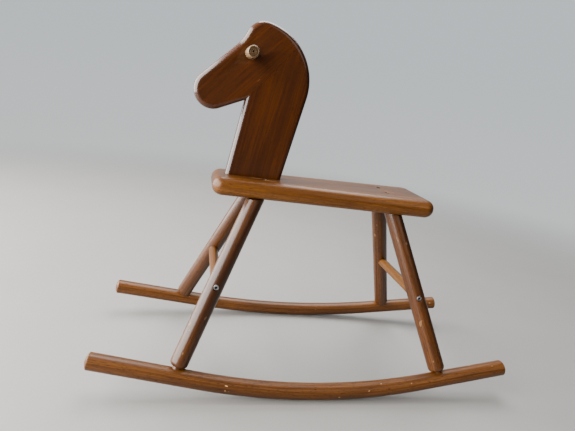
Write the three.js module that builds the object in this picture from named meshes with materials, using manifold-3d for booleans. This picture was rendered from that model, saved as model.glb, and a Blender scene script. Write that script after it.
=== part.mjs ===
// A toddler's rocking horse in round beech rods and flat boards.
// X runs from the nose (-) to the tail (+), Y across the horse with its left side at -Y, and Z up.
// The floor is z = 0 and the origin is on the floor below the middle of the rockers. Units are millimetres.
import * as THREE from "three";
import { mergeVertices } from "three/addons/utils/BufferGeometryUtils.js";
import Module from "manifold-3d";

const wasm = await Module();
wasm.setup();

// ---- Driving dimensions ----
const CLEARANCE = 0.3; // gap between pieces that touch, at every face and all round every fit

const ROCKER_RADIUS = 15;
const ROCKER_HALF_LENGTH = 400; // middle to end, along X
const ROCKER_BEND_RADIUS = 1300;
const ROCKER_BENT_HALF = 215; // the bend reaches this far from the middle; the ends are straight
const ROCKER_END_DOME = 5; // rise of the domed ends
const HALF_TRACK = 158; // rocker axis to the middle plane, where it touches the floor

const LEG_RADIUS = 16;
const FOOT_X = 256; // where the leg axes meet the rocker axes
const HIP_X = 137; // where the leg axes meet the seat's underside
const HIP_Y = 35;
const TENON_RADIUS = 8;
const FOOT_TENON_STOP = 4; // the lower tenon ends this far above the rocker's axis
const SEAT_ABOVE_TENON = 14; // the seat is this much thicker than the upper tenon is long

const SEAT_UNDERSIDE = 339;
const SEAT_THICKNESS = 34;
const SEAT_LENGTH = 430;
const SEAT_SHIFT = -4; // the seat's middle, towards the nose
const SEAT_FRONT_HALF_WIDTH = 52;
const SEAT_REAR_HALF_WIDTH = 72.5;
const SEAT_CORNER_RADIUS = 20;
const SEAT_EDGE_ROUND = 16;

const STRETCHER_RADIUS = 9.5;
const STRETCHER_PLACE = 0.5; // share of the way up the leg
const STRETCHER_SOCKET = 8; // depth into the leg

const BOARD_THICKNESS = 28; // head and neck
const BOARD_EDGE_ROUND = 9;
const NECK_BASE_FRONT_X = -196.5;
const NECK_LEAN = 10; // degrees from upright, along the back of the neck
const THROAT = { x: -176.3, rise: 135.8 }; // rises are measured from the seat's top
const NOSE = { x: -233.5, rise: 145.5, radius: 33.2 };
const MANE = { x: -164, rise: 171, radius: 101.5 };
const CROWN_RADIUS = 34;
const CROWN_TURN = 81; // degrees: where the crown's round leaves the mane's
const FOREHEAD_SLOPE = 45.4; // degrees
const FOREHEAD_HOLLOW = 80; // radius between forehead and crown
const SEAM_SLOPE = 51.3; // degrees: the glue line that rises from the throat

const HANDLE = { x: -175.7, rise: 215.3, radius: 10, length: 120, endRound: 2.5 };
const HANDLE_CENTRE_HOLE = { radius: 1.3, depth: 3 };

const DOWEL = { radius: 4, length: 50 };
const DOWEL_PLACES = { lower: 50, upper: 100 }; // along the seam from the throat

const LEG_SCREW = { shank: 2, head: 3.7, headHeight: 2.6 };
const SEAT_SCREW_LENGTH = 42;
const SEAT_SCREW_RECESS = 11; // along the leg axis, from the seat's top
const ROCKER_SCREW_LENGTH = 40;
const ROCKER_SCREW_RECESS = 8; // along the leg axis, from the rocker's underside
const NECK_SCREW = { shank: 2.5, head: 4.5, headHeight: 3.2 };
const NECK_SCREW_LENGTH = 68;
const NECK_SCREW_RECESS = 10;
const NECK_SCREW_PLACES = { front: 0.3, rear: 0.7 }; // shares of the neck's base, from its front
const BOLT = { shank: 2.9, head: 4.9, headHeight: 5.5 };
const BOLT_RECESS = 7; // from the leg's outer side
const BOLT_LENGTH = 33;
const INSERT = { radius: 4.8, length: 14, sunk: 1 };
const RECESS_ROOM = 0.6; // all round a screw head in its recess
const SCREW_TIP_ROOM = 2; // a screw's hole runs this far past its tip
const SCREW_TAPER = 3; // a pointed tip's length, in shank radii
const SCREW_SOCKET = { radius: 0.55, floor: 0.45 }; // shares of the head's radius and height
const ROD_END_ROUND = 1; // stretchers and dowels

const ROD_SIDES = 16;
const SCREW_SIDES = 8;
const ROUND_STEPS = 3; // facets in a quarter round
const ROCKER_STEP = 40; // facet length along a rocker
const HEAD_ARC_STEPS = 7;
const SEAT_ARC_STEPS = 5;
const OVERCUT = 20; // cutters run this far past the face that they open
const ROOM_SIZE = 1000; // boxes that stand for everything on one side of a cut

// ---- Sizes that follow ----
const SEAT_TOP = SEAT_UNDERSIDE + SEAT_THICKNESS;
const SIDE_LEAN = Math.atan2(HALF_TRACK - HIP_Y, SEAT_UNDERSIDE - ROCKER_RADIUS);
const HIP_HEIGHT = Math.hypot(HALF_TRACK - HIP_Y, SEAT_UNDERSIDE - ROCKER_RADIUS); // along the lean
const ROCKER_END_SLOPE = Math.asin(ROCKER_BENT_HALF / ROCKER_BEND_RADIUS);
const LEG_END_ROUND = LEG_RADIUS - TENON_RADIUS; // the legs' ends are rounded down to their tenons
const SEAT_TENON_LENGTH = SEAT_THICKNESS - SEAT_ABOVE_TENON; // along the leg, into the seat
const TENON_HOLE = TENON_RADIUS + CLEARANCE;
const SCREW_HOLE = LEG_SCREW.shank + CLEARANCE;
const SCREW_RECESS_RADIUS = LEG_SCREW.head + RECESS_ROOM;
const BOLT_HOLE = BOLT.shank + CLEARANCE;
const radians = THREE.MathUtils.degToRad;
const at = (x, y, z) => new THREE.Vector3(x, y, z);

// ---- Materials ----
const wood = (color) => new THREE.MeshStandardMaterial({ color, roughness: 0.38, metalness: 0 });
const metal = (color) => new THREE.MeshStandardMaterial({ color, roughness: 0.35, metalness: 1 });
const SEAT_WOOD = 0x9a5a26;
const BOARD_WOOD = 0x7d451a;
const ROD_WOOD = 0x8a4c20;
const STRETCHER_WOOD = 0xb87a3e;
const HANDLE_WOOD = 0xc09a6c;
const DOWEL_WOOD = 0xcaa878;
const ZINC = 0xa8aaab;
const BRASS = 0xb59a4c;

// ---- Shape helpers ----
// A geometry as a manifold-3d solid.
function solidOf(geometry) {
  const bare = geometry.clone();
  bare.deleteAttribute("normal");
  bare.deleteAttribute("uv");
  const merged = mergeVertices(bare, 1e-4);
  return new wasm.Manifold(
    new wasm.Mesh({
      numProp: 3,
      vertProperties: merged.attributes.position.array,
      triVerts: new Uint32Array(merged.index.array),
    }),
  );
}

// A manifold-3d solid as a geometry.
function geometryOf(solid) {
  const mesh = solid.getMesh();
  const geometry = new THREE.BufferGeometry();
  geometry.setAttribute("position", new THREE.BufferAttribute(mesh.vertProperties, 3));
  geometry.setIndex(new THREE.BufferAttribute(mesh.triVerts, 1));
  geometry.computeVertexNormals();
  return geometry;
}

// The geometry with every tool geometry cut away from it.
function carve(geometry, tools) {
  const blank = solidOf(geometry);
  return geometryOf(tools.reduce((solid, tool) => solid.subtract(solidOf(tool)), blank));
}

// Two geometries that run into each other, as one.
function join(first, second) {
  return geometryOf(solidOf(first).add(solidOf(second)));
}

// The part of a geometry that lies inside a second one.
function keepInside(geometry, room) {
  return geometryOf(solidOf(geometry).intersect(solidOf(room)));
}

// The turn and shift that stand a geometry built along +Z at a point, along a direction.
function stand(point, direction) {
  const turn = new THREE.Quaternion().setFromUnitVectors(at(0, 0, 1), direction.clone().normalize());
  return new THREE.Matrix4().compose(point, turn, at(1, 1, 1));
}

// A solid of revolution about Z from [radius, z] pairs that start and end on the axis.
function turned(profile, sides = ROD_SIDES) {
  const points = profile.map(([radius, z]) => new THREE.Vector2(radius, z));
  return new THREE.LatheGeometry(points, sides).rotateX(Math.PI / 2);
}

// [radius, z] pairs of a quarter round of a rod's end; `up` is 1 at the top end and -1 at the bottom.
function quarterRound(radius, z, round, up) {
  const pairs = [];
  for (let i = 0; i <= ROUND_STEPS; i++) {
    const angle = (i / ROUND_STEPS) * (Math.PI / 2);
    pairs.push([radius - round + round * Math.cos(angle), z + up * round * (Math.sin(angle) - 1)]);
  }
  return up > 0 ? pairs : pairs.reverse();
}

// [radius, z] pairs of a rod's domed end, from its rim to just short of the axis; `up` as above.
function domed(radius, z, rise, up) {
  const dome = (radius ** 2 + rise ** 2) / (2 * rise); // the dome's own radius
  const pairs = [];
  for (let i = 0; i < ROUND_STEPS; i++) {
    const angle = (1 - i / ROUND_STEPS) * Math.asin(radius / dome);
    pairs.push([dome * Math.sin(angle), z + up * dome * (Math.cos(angle) - 1)]);
  }
  return up > 0 ? pairs : pairs.reverse();
}

// A plain round hole cutter from one point to another.
function drill(from, to, radius, sides = ROD_SIDES) {
  const length = from.distanceTo(to);
  const cutter = turned([[0, 0], [radius, 0], [radius, length], [0, length]], sides);
  return cutter.applyMatrix4(stand(from, to.clone().sub(from)));
}

// A rod along Z with rounded ends, centred on the origin.
function roundEndedRod(radius, length, round) {
  const half = length / 2;
  return turned([
    [0, -half],
    ...quarterRound(radius, -half, round, -1),
    ...quarterRound(radius, half, round, 1),
    [0, half],
  ]);
}

// A screw or bolt along +Z from its tip at -length to its head's top, with a six-sided socket.
function screw({ shank, head, headHeight }, length, pointed) {
  const taper = pointed ? SCREW_TAPER * shank : 0;
  const tip = [[0, -length], [shank, taper - length]];
  const body = turned([...tip, [shank, 0], [head, 0], [head, headHeight], [0, headHeight]], SCREW_SIDES);
  const floor = at(0, 0, headHeight * SCREW_SOCKET.floor);
  const mouth = at(0, 0, headHeight + OVERCUT);
  return carve(body, [drill(floor, mouth, head * SCREW_SOCKET.radius, 6)]);
}

// ---- Scene graph ----
const horse = new THREE.Group();

function addPiece(parent, name, geometry, material, matrix = new THREE.Matrix4()) {
  const mesh = new THREE.Mesh(geometry, material);
  mesh.name = name;
  matrix.decompose(mesh.position, mesh.quaternion, mesh.scale);
  parent.add(mesh);
  return mesh;
}

const ENDS = [
  { name: "front", way: -1 },
  { name: "rear", way: 1 },
];
const SIDES = [
  { name: "left", way: -1 },
  { name: "right", way: 1 },
];

// ---- Legs: one axis for each, from the rocker's axis up to the seat's underside ----
// Height of the rocker's axis above its lowest point, in the side frame's plane.
function rockerRise(x) {
  const bent = Math.min(Math.abs(x), ROCKER_BENT_HALF);
  const rise = ROCKER_BEND_RADIUS - Math.sqrt(ROCKER_BEND_RADIUS ** 2 - bent ** 2);
  return rise + (Math.abs(x) - bent) * Math.tan(ROCKER_END_SLOPE);
}

function legAxis(end, side) {
  const footRise = rockerRise(FOOT_X);
  const foot = at(
    end.way * FOOT_X,
    side.way * (HALF_TRACK - footRise * Math.sin(SIDE_LEAN)),
    ROCKER_RADIUS + footRise * Math.cos(SIDE_LEAN),
  );
  const hip = at(end.way * HIP_X, side.way * HIP_Y, SEAT_UNDERSIDE);
  const direction = hip.clone().sub(foot).normalize();
  const from = (point, distance) => point.clone().addScaledVector(direction, distance);
  const seatAlong = SEAT_THICKNESS / direction.z; // the seat's thickness along the leg
  const lean = Math.atan2(FOOT_X - HIP_X, HIP_HEIGHT - footRise) - Math.atan(slopeAt(FOOT_X));
  const footClear = ROCKER_RADIUS + LEG_END_ROUND + CLEARANCE + TENON_RADIUS * Math.sin(lean);
  return {
    foot,
    hip,
    direction,
    from,
    length: hip.distanceTo(foot),
    seatAlong,
    footShoulder: footClear / Math.cos(lean) - LEG_END_ROUND, // from the foot point to the leg's lower end
    rockerAlong: ROCKER_RADIUS / Math.cos(lean), // rocker axis to its skin, along the leg
    middle: foot.clone().lerp(hip, STRETCHER_PLACE),
    halfChord: LEG_RADIUS / Math.sqrt(1 - direction.y ** 2), // leg axis to its skin, along Y
  };
}

function slopeAt(x) {
  return Math.tan(Math.asin(Math.min(Math.abs(x), ROCKER_BENT_HALF) / ROCKER_BEND_RADIUS));
}

const legs = ENDS.flatMap((end) => SIDES.map((side) => ({ end, side, axis: legAxis(end, side) })));

// The upper end is rounded past the hip point, then sawn level a clearance below the seat.
function legGeometry({ side, axis }) {
  const stance = stand(axis.foot, axis.direction);
  const top = axis.length + LEG_END_ROUND;
  const shaft = turned([
    [0, FOOT_TENON_STOP],
    [TENON_RADIUS, FOOT_TENON_STOP],
    ...quarterRound(LEG_RADIUS, axis.footShoulder, LEG_END_ROUND, -1),
    ...quarterRound(LEG_RADIUS, top, LEG_END_ROUND, 1),
    [0, top],
  ]).applyMatrix4(stance);
  const tenon = turned([
    [0, axis.length / 2],
    [TENON_RADIUS, axis.length / 2],
    [TENON_RADIUS, axis.length + SEAT_TENON_LENGTH],
    [0, axis.length + SEAT_TENON_LENGTH],
  ]).applyMatrix4(stance);
  const belowSeat = new THREE.BoxGeometry(ROOM_SIZE, ROOM_SIZE, ROOM_SIZE);
  belowSeat.translate(0, 0, SEAT_UNDERSIDE - CLEARANCE - ROOM_SIZE / 2);
  const blank = join(keepInside(shaft, belowSeat), tenon);
  const across = (distance) => axis.middle.clone().add(at(0, side.way * distance, 0));
  const outside = axis.halfChord + OVERCUT;
  const seatScrewTip = axis.seatAlong - SEAT_SCREW_RECESS - SEAT_SCREW_LENGTH - SCREW_TIP_ROOM;
  const rockerScrewTip = ROCKER_SCREW_RECESS - axis.rockerAlong + ROCKER_SCREW_LENGTH + SCREW_TIP_ROOM;
  const seatScrewEnds = [seatScrewTip, SEAT_TENON_LENGTH + OVERCUT].map((d) => axis.from(axis.hip, d));
  const rockerScrewEnds = [FOOT_TENON_STOP - OVERCUT, rockerScrewTip].map((d) => axis.from(axis.foot, d));
  return carve(blank, [
    drill(...seatScrewEnds, SCREW_HOLE, SCREW_SIDES),
    drill(...rockerScrewEnds, SCREW_HOLE, SCREW_SIDES),
    drill(across(-outside), across(outside), BOLT_HOLE, SCREW_SIDES),
    drill(across(axis.halfChord - BOLT_RECESS), across(outside), BOLT.head + RECESS_ROOM),
    drill(across(-outside), across(STRETCHER_SOCKET - axis.halfChord), STRETCHER_RADIUS + CLEARANCE),
  ]);
}

for (const leg of legs) {
  const { end, side, axis } = leg;
  const name = `${end.name}_${side.name}`;
  addPiece(horse, `${name}_leg`, legGeometry(leg), wood(ROD_WOOD));

  const down = axis.direction.clone().negate();
  const seatScrewPlace = axis.from(axis.hip, axis.seatAlong - SEAT_SCREW_RECESS + CLEARANCE);
  const seatScrew = screw(LEG_SCREW, SEAT_SCREW_LENGTH, true);
  addPiece(horse, `${name}_seat_screw`, seatScrew, metal(ZINC), stand(seatScrewPlace, axis.direction));

  const rockerScrewPlace = axis.from(axis.foot, ROCKER_SCREW_RECESS - axis.rockerAlong - CLEARANCE);
  const rockerScrew = screw(LEG_SCREW, ROCKER_SCREW_LENGTH, true);
  addPiece(horse, `${name}_rocker_screw`, rockerScrew, metal(ZINC), stand(rockerScrewPlace, down));

  const outward = at(0, side.way, 0);
  const boltSeat = axis.halfChord - BOLT_RECESS + CLEARANCE;
  const boltPlace = axis.middle.clone().addScaledVector(outward, boltSeat);
  const bolt = screw(BOLT, BOLT_LENGTH, false);
  addPiece(horse, `${name}_stretcher_bolt`, bolt, metal(ZINC), stand(boltPlace, outward));
}

// ---- Stretchers, with a threaded insert in each end ----
for (const end of ENDS) {
  const { axis } = legs.find((leg) => leg.end === end && leg.side === SIDES[1]);
  const halfLength = axis.middle.y - axis.halfChord + STRETCHER_SOCKET - CLEARANCE;
  const insertHalf = INSERT.length / 2;
  const insertPlace = halfLength - INSERT.sunk - insertHalf;
  const insertHoleFloor = insertPlace - insertHalf - CLEARANCE;
  const centre = at(axis.middle.x, 0, axis.middle.z);
  const along = (distance) => centre.clone().add(at(0, distance, 0));
  const rod = roundEndedRod(STRETCHER_RADIUS, 2 * halfLength, ROD_END_ROUND);
  const holes = SIDES.flatMap(({ way }) => {
    const mouth = along(way * (halfLength + OVERCUT));
    return [
      drill(along(way * insertHoleFloor), mouth, INSERT.radius + CLEARANCE),
      drill(along(way * (halfLength - BOLT_LENGTH)), mouth, BOLT_HOLE, SCREW_SIDES),
    ];
  });
  const stretcher = carve(rod.applyMatrix4(stand(centre, at(0, 1, 0))), holes);
  addPiece(horse, `${end.name}_stretcher`, stretcher, wood(STRETCHER_WOOD));

  for (const { name, way } of SIDES) {
    const sleeve = turned(
      [
        [BOLT_HOLE, -insertHalf],
        [INSERT.radius, -insertHalf],
        [INSERT.radius, insertHalf],
        [BOLT_HOLE, insertHalf],
        [BOLT_HOLE, -insertHalf],
      ],
      SCREW_SIDES,
    );
    const place = stand(along(way * insertPlace), at(0, 1, 0));
    addPiece(horse, `${end.name}_${name}_stretcher_insert`, sleeve, metal(BRASS), place);
  }
}

// ---- Rockers: a round-ended rod bent in the plane of its two legs ----
function rockerGeometry(side) {
  const bentLength = ROCKER_BEND_RADIUS * ROCKER_END_SLOPE;
  const straight = (ROCKER_HALF_LENGTH - ROCKER_BENT_HALF) / Math.cos(ROCKER_END_SLOPE);
  const half = bentLength + straight;
  const steps = Math.ceil(half / ROCKER_STEP);
  const between = [];
  for (let i = 1 - steps; i < steps; i++) {
    between.push([ROCKER_RADIUS, (i / steps) * (half - ROCKER_END_DOME)]);
  }
  const rod = turned([
    [0, -half],
    ...domed(ROCKER_RADIUS, -half, ROCKER_END_DOME, -1),
    ...between,
    ...domed(ROCKER_RADIUS, half, ROCKER_END_DOME, 1),
    [0, half],
  ]);
  rod.rotateZ(-side.way * SIDE_LEAN); // puts one facet edge straight down once the frame leans
  rod.rotateY(Math.PI / 2).rotateX(Math.PI / 2);

  const position = rod.attributes.position;
  for (let i = 0; i < position.count; i++) {
    const along = position.getX(i);
    const reach = Math.min(Math.abs(along), bentLength);
    const angle = (Math.sign(along) * reach) / ROCKER_BEND_RADIUS;
    const beyond = along - Math.sign(along) * reach;
    const height = position.getZ(i);
    const x = ROCKER_BEND_RADIUS * Math.sin(angle) + beyond * Math.cos(angle) - height * Math.sin(angle);
    const z =
      ROCKER_BEND_RADIUS * (1 - Math.cos(angle)) + beyond * Math.sin(angle) + height * Math.cos(angle);
    position.setXYZ(i, x, position.getY(i), z);
  }
  return rod;
}

for (const side of SIDES) {
  const place = new THREE.Matrix4()
    .makeTranslation(0, side.way * HALF_TRACK, ROCKER_RADIUS)
    .multiply(new THREE.Matrix4().makeRotationX(side.way * SIDE_LEAN));
  const bent = rockerGeometry(side).applyMatrix4(place);
  const holes = legs
    .filter((leg) => leg.side === side)
    .flatMap(({ axis }) => {
      const along = (distance) => axis.from(axis.foot, distance);
      const above = along(axis.rockerAlong + OVERCUT);
      const below = along(-axis.rockerAlong - OVERCUT);
      return [
        drill(along(FOOT_TENON_STOP - CLEARANCE), above, TENON_HOLE),
        drill(below, along(FOOT_TENON_STOP), SCREW_HOLE, SCREW_SIDES),
        drill(below, along(ROCKER_SCREW_RECESS - axis.rockerAlong), SCREW_RECESS_RADIUS),
      ];
    });
  addPiece(horse, `${side.name}_rocker`, carve(bent, holes), wood(ROD_WOOD));
}

// ---- Seat: a tapered board with rounded corners and edges ----
// A closed outline through corners given in order, each rounded to the same radius.
function roundedOutline(corners, radius) {
  const shape = new THREE.Shape();
  corners.forEach((corner, i) => {
    const toLast = corners.at(i - 1).clone().sub(corner).normalize();
    const toNext = corners[(i + 1) % corners.length].clone().sub(corner).normalize();
    const half = Math.acos(toLast.dot(toNext)) / 2;
    const bisector = toLast.clone().add(toNext).normalize();
    const centre = bisector.multiplyScalar(radius / Math.sin(half)).add(corner);
    const first = toLast.multiplyScalar(radius / Math.tan(half)).add(corner).sub(centre);
    const last = toNext.multiplyScalar(radius / Math.tan(half)).add(corner).sub(centre);
    shape.absarc(centre.x, centre.y, radius, first.angle(), last.angle(), false);
  });
  return shape;
}

// A board of this outline from z = 0 up, with a quarter round on every edge.
function roundEdgedBoard(shape, thickness, round, curveSegments) {
  return new THREE.ExtrudeGeometry(shape, {
    depth: thickness - 2 * round,
    bevelThickness: round,
    bevelSize: round,
    bevelOffset: -round,
    bevelSegments: ROUND_STEPS,
    curveSegments,
  }).translate(0, 0, round);
}

const seatFront = SEAT_SHIFT - SEAT_LENGTH / 2;
const seatRear = SEAT_SHIFT + SEAT_LENGTH / 2;
const seatOutline = roundedOutline(
  [
    new THREE.Vector2(seatFront, -SEAT_FRONT_HALF_WIDTH),
    new THREE.Vector2(seatRear, -SEAT_REAR_HALF_WIDTH),
    new THREE.Vector2(seatRear, SEAT_REAR_HALF_WIDTH),
    new THREE.Vector2(seatFront, SEAT_FRONT_HALF_WIDTH),
  ],
  SEAT_CORNER_RADIUS,
);
const seatBlank = roundEdgedBoard(seatOutline, SEAT_THICKNESS, SEAT_EDGE_ROUND, SEAT_ARC_STEPS);

// Where the back of the neck meets the seat: on the mane's tangent at the neck's lean.
function neckBackBase() {
  const lean = radians(NECK_LEAN);
  const touchX = MANE.x + MANE.radius * Math.cos(lean);
  const touchRise = MANE.rise - MANE.radius * Math.sin(lean);
  return touchX - touchRise * Math.tan(lean);
}

const neckScrews = Object.entries(NECK_SCREW_PLACES).map(([name, share]) => {
  const x = THREE.MathUtils.lerp(NECK_BASE_FRONT_X, neckBackBase(), share);
  return { name, x };
});
const neckScrewSeat = SEAT_UNDERSIDE + NECK_SCREW_RECESS; // the face that the screw heads bear on
const neckScrewTip = neckScrewSeat - CLEARANCE + NECK_SCREW_LENGTH;
const neckHoles = neckScrews.flatMap(({ x }) => {
  const mouth = at(x, 0, SEAT_UNDERSIDE - OVERCUT);
  return [
    drill(mouth, at(x, 0, neckScrewTip + SCREW_TIP_ROOM), NECK_SCREW.shank + CLEARANCE, SCREW_SIDES),
    drill(mouth, at(x, 0, neckScrewSeat), NECK_SCREW.head + RECESS_ROOM),
  ];
});
const legHolesInSeat = legs.flatMap(({ axis }) => {
  const along = (distance) => axis.from(axis.hip, distance);
  const above = along(axis.seatAlong + OVERCUT);
  return [
    drill(along(-OVERCUT), along(SEAT_TENON_LENGTH + CLEARANCE), TENON_HOLE),
    drill(along(0), above, SCREW_HOLE, SCREW_SIDES),
    drill(along(axis.seatAlong - SEAT_SCREW_RECESS), above, SCREW_RECESS_RADIUS),
  ];
});
const seat = carve(seatBlank.translate(0, 0, SEAT_UNDERSIDE), [...legHolesInSeat, ...neckHoles]);
addPiece(horse, "seat_board", seat, wood(SEAT_WOOD));

for (const { name, x } of neckScrews) {
  const place = stand(at(x, 0, neckScrewSeat - CLEARANCE), at(0, 0, -1));
  addPiece(horse, `${name}_neck_screw`, screw(NECK_SCREW, NECK_SCREW_LENGTH, true), metal(ZINC), place);
}

// ---- Head and neck: one outline, cut into two boards by the seam ----
// The outline is drawn in X and the rise above the seat's top.
function headOutline() {
  const slope = radians(FOREHEAD_SLOPE);
  const turn = radians(CROWN_TURN);
  const lean = radians(NECK_LEAN);
  const skirt = 30; // runs on below the seat's top, and is cut off there

  const crownX = MANE.x + (MANE.radius - CROWN_RADIUS) * Math.cos(turn);
  const crownRise = MANE.rise + (MANE.radius - CROWN_RADIUS) * Math.sin(turn);

  // The forehead's hollow touches the forehead line and the crown's round.
  const along = new THREE.Vector2(Math.cos(slope), Math.sin(slope));
  const out = new THREE.Vector2(-along.y, along.x);
  const noseCentre = new THREE.Vector2(NOSE.x, NOSE.rise);
  const crownCentre = new THREE.Vector2(crownX, crownRise);
  const toCrown = crownCentre.clone().sub(noseCentre);
  const hollowOut = NOSE.radius + FOREHEAD_HOLLOW;
  const apart = CROWN_RADIUS + FOREHEAD_HOLLOW;
  const spread = Math.sqrt(apart ** 2 - (hollowOut - toCrown.dot(out)) ** 2);
  const hollowCentre = noseCentre
    .clone()
    .addScaledVector(out, hollowOut)
    .addScaledVector(along, toCrown.dot(along) - spread);
  const meet = crownCentre.clone().sub(hollowCentre).angle();

  // The jaw runs from the throat to touch the nose's round from below.
  const toNose = noseCentre.clone().sub(new THREE.Vector2(THROAT.x, THROAT.rise));
  const jaw = toNose.angle() + Math.asin(NOSE.radius / toNose.length());

  const neckFrontSlope = (THROAT.x - NECK_BASE_FRONT_X) / THROAT.rise;
  const shape = new THREE.Shape();
  shape.moveTo(NECK_BASE_FRONT_X - skirt * neckFrontSlope, -skirt);
  shape.lineTo(neckBackBase() - skirt * Math.tan(lean), -skirt);
  shape.absarc(MANE.x, MANE.rise, MANE.radius, -lean, turn, false);
  shape.absarc(crownX, crownRise, CROWN_RADIUS, turn, meet + Math.PI, false);
  shape.absarc(hollowCentre.x, hollowCentre.y, FOREHEAD_HOLLOW, meet, slope - Math.PI / 2, true);
  shape.absarc(NOSE.x, NOSE.rise, NOSE.radius, slope + Math.PI / 2, jaw + Math.PI / 2, false);
  shape.lineTo(THROAT.x, THROAT.rise);
  return shape;
}

const profileBoard = roundEdgedBoard(headOutline(), BOARD_THICKNESS, BOARD_EDGE_ROUND, HEAD_ARC_STEPS)
  .rotateX(Math.PI / 2)
  .translate(0, BOARD_THICKNESS / 2, SEAT_TOP);

const seamAngle = radians(SEAM_SLOPE);
const seamAlong = at(Math.cos(seamAngle), 0, Math.sin(seamAngle));
const headWay = at(-Math.sin(seamAngle), 0, Math.cos(seamAngle)); // square to the seam, into the head
const throatPoint = at(THROAT.x, 0, SEAT_TOP + THROAT.rise);

// The room on one side of the seam: a box whose near face is half a clearance away from the glue line.
function seamRoom(way) {
  const room = new THREE.BoxGeometry(ROOM_SIZE, ROOM_SIZE, ROOM_SIZE);
  room.applyMatrix4(stand(at(0, 0, 0), headWay));
  const away = (way * (ROOM_SIZE + CLEARANCE)) / 2;
  return room.translate(...throatPoint.clone().addScaledVector(headWay, away).toArray());
}

const dowelReach = DOWEL.length / 2 + CLEARANCE;
const dowelHoles = [];
for (const [name, distance] of Object.entries(DOWEL_PLACES)) {
  const centre = throatPoint.clone().addScaledVector(seamAlong, distance);
  const ends = [-dowelReach, dowelReach].map((offset) => centre.clone().addScaledVector(headWay, offset));
  dowelHoles.push(drill(...ends, DOWEL.radius + CLEARANCE));
  const dowel = roundEndedRod(DOWEL.radius, DOWEL.length, ROD_END_ROUND);
  addPiece(horse, `${name}_seam_dowel`, dowel, wood(DOWEL_WOOD), stand(centre, headWay));
}

const handleCentre = at(HANDLE.x, 0, SEAT_TOP + HANDLE.rise);
const handleHole = drill(
  handleCentre.clone().setY(-BOARD_THICKNESS),
  handleCentre.clone().setY(BOARD_THICKNESS),
  HANDLE.radius + CLEARANCE,
);

const head = carve(keepInside(profileBoard, seamRoom(1)), [...dowelHoles, handleHole]);
addPiece(horse, "head_board", head, wood(BOARD_WOOD));

const belowSeat = new THREE.BoxGeometry(ROOM_SIZE, ROOM_SIZE, ROOM_SIZE);
belowSeat.translate(0, 0, SEAT_TOP + CLEARANCE - ROOM_SIZE / 2);
const neck = carve(keepInside(profileBoard, seamRoom(-1)), [...dowelHoles, ...neckHoles, belowSeat]);
addPiece(horse, "neck_board", neck, wood(BOARD_WOOD));

// ---- Handle: one round bar through the head, with a lathe centre in each end ----
const handleHalf = HANDLE.length / 2;
const handle = carve(
  roundEndedRod(HANDLE.radius, HANDLE.length, HANDLE.endRound),
  SIDES.map(({ way }) =>
    drill(
      at(0, 0, way * (handleHalf - HANDLE_CENTRE_HOLE.depth)),
      at(0, 0, way * (handleHalf + OVERCUT)),
      HANDLE_CENTRE_HOLE.radius,
      SCREW_SIDES,
    ),
  ),
);
addPiece(horse, "handle_bar", handle, wood(HANDLE_WOOD), stand(handleCentre, at(0, 1, 0)));

export default horse;
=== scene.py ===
"""A toddler's rocking horse in varnished beech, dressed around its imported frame.

Lengths are in metres. X runs from the nose (-) to the tail (+), Y across the horse with its left side at -Y,
and Z up from the floor.
"""

import logging
import math
from dataclasses import dataclass, field
from enum import Enum
from typing import Callable, Optional, Sequence, Union

import bmesh
import bpy
import numpy as np
from mathutils import Matrix, Vector


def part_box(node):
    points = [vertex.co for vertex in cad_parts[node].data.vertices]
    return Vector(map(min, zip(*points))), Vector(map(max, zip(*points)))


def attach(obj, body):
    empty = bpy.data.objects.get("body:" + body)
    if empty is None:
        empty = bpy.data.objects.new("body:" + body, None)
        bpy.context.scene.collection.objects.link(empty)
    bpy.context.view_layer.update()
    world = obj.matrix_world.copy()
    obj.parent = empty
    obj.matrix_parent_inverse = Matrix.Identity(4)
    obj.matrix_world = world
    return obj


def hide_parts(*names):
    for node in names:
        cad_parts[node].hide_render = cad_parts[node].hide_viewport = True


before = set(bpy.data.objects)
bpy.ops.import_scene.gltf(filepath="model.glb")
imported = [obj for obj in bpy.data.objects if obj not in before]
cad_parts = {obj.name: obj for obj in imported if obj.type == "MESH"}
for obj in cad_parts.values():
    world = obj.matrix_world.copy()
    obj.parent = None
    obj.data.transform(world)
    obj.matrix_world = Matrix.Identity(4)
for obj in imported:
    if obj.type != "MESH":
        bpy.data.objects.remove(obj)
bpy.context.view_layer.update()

log = logging.getLogger("horse")
MM = 0.001
CLEARANCE = 0.3 * MM  # between pieces that touch, as in the CAD
WELD = 2e-6  # points closer than this become one
X_WAY = Vector((1, 0, 0))
Y_WAY = Vector((0, 1, 0))
Z_WAY = Vector((0, 0, 1))
Pair = tuple[float, float]
Colour = tuple[float, float, float]


class Side(Enum):
    """The horse's two sides, valued by their way along Y."""

    LEFT = -1
    RIGHT = 1


class End(Enum):
    """The horse's two ends, valued by their way along X."""

    FRONT = -1
    REAR = 1


def corner_name(end: End, side: Side) -> str:
    """A corner's name as the CAD nodes spell it, such as front_left."""
    return f"{end.name.lower()}_{side.name.lower()}"


# ---- Node trees: one socket wrapper for shader and geometry nodes ----


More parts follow.
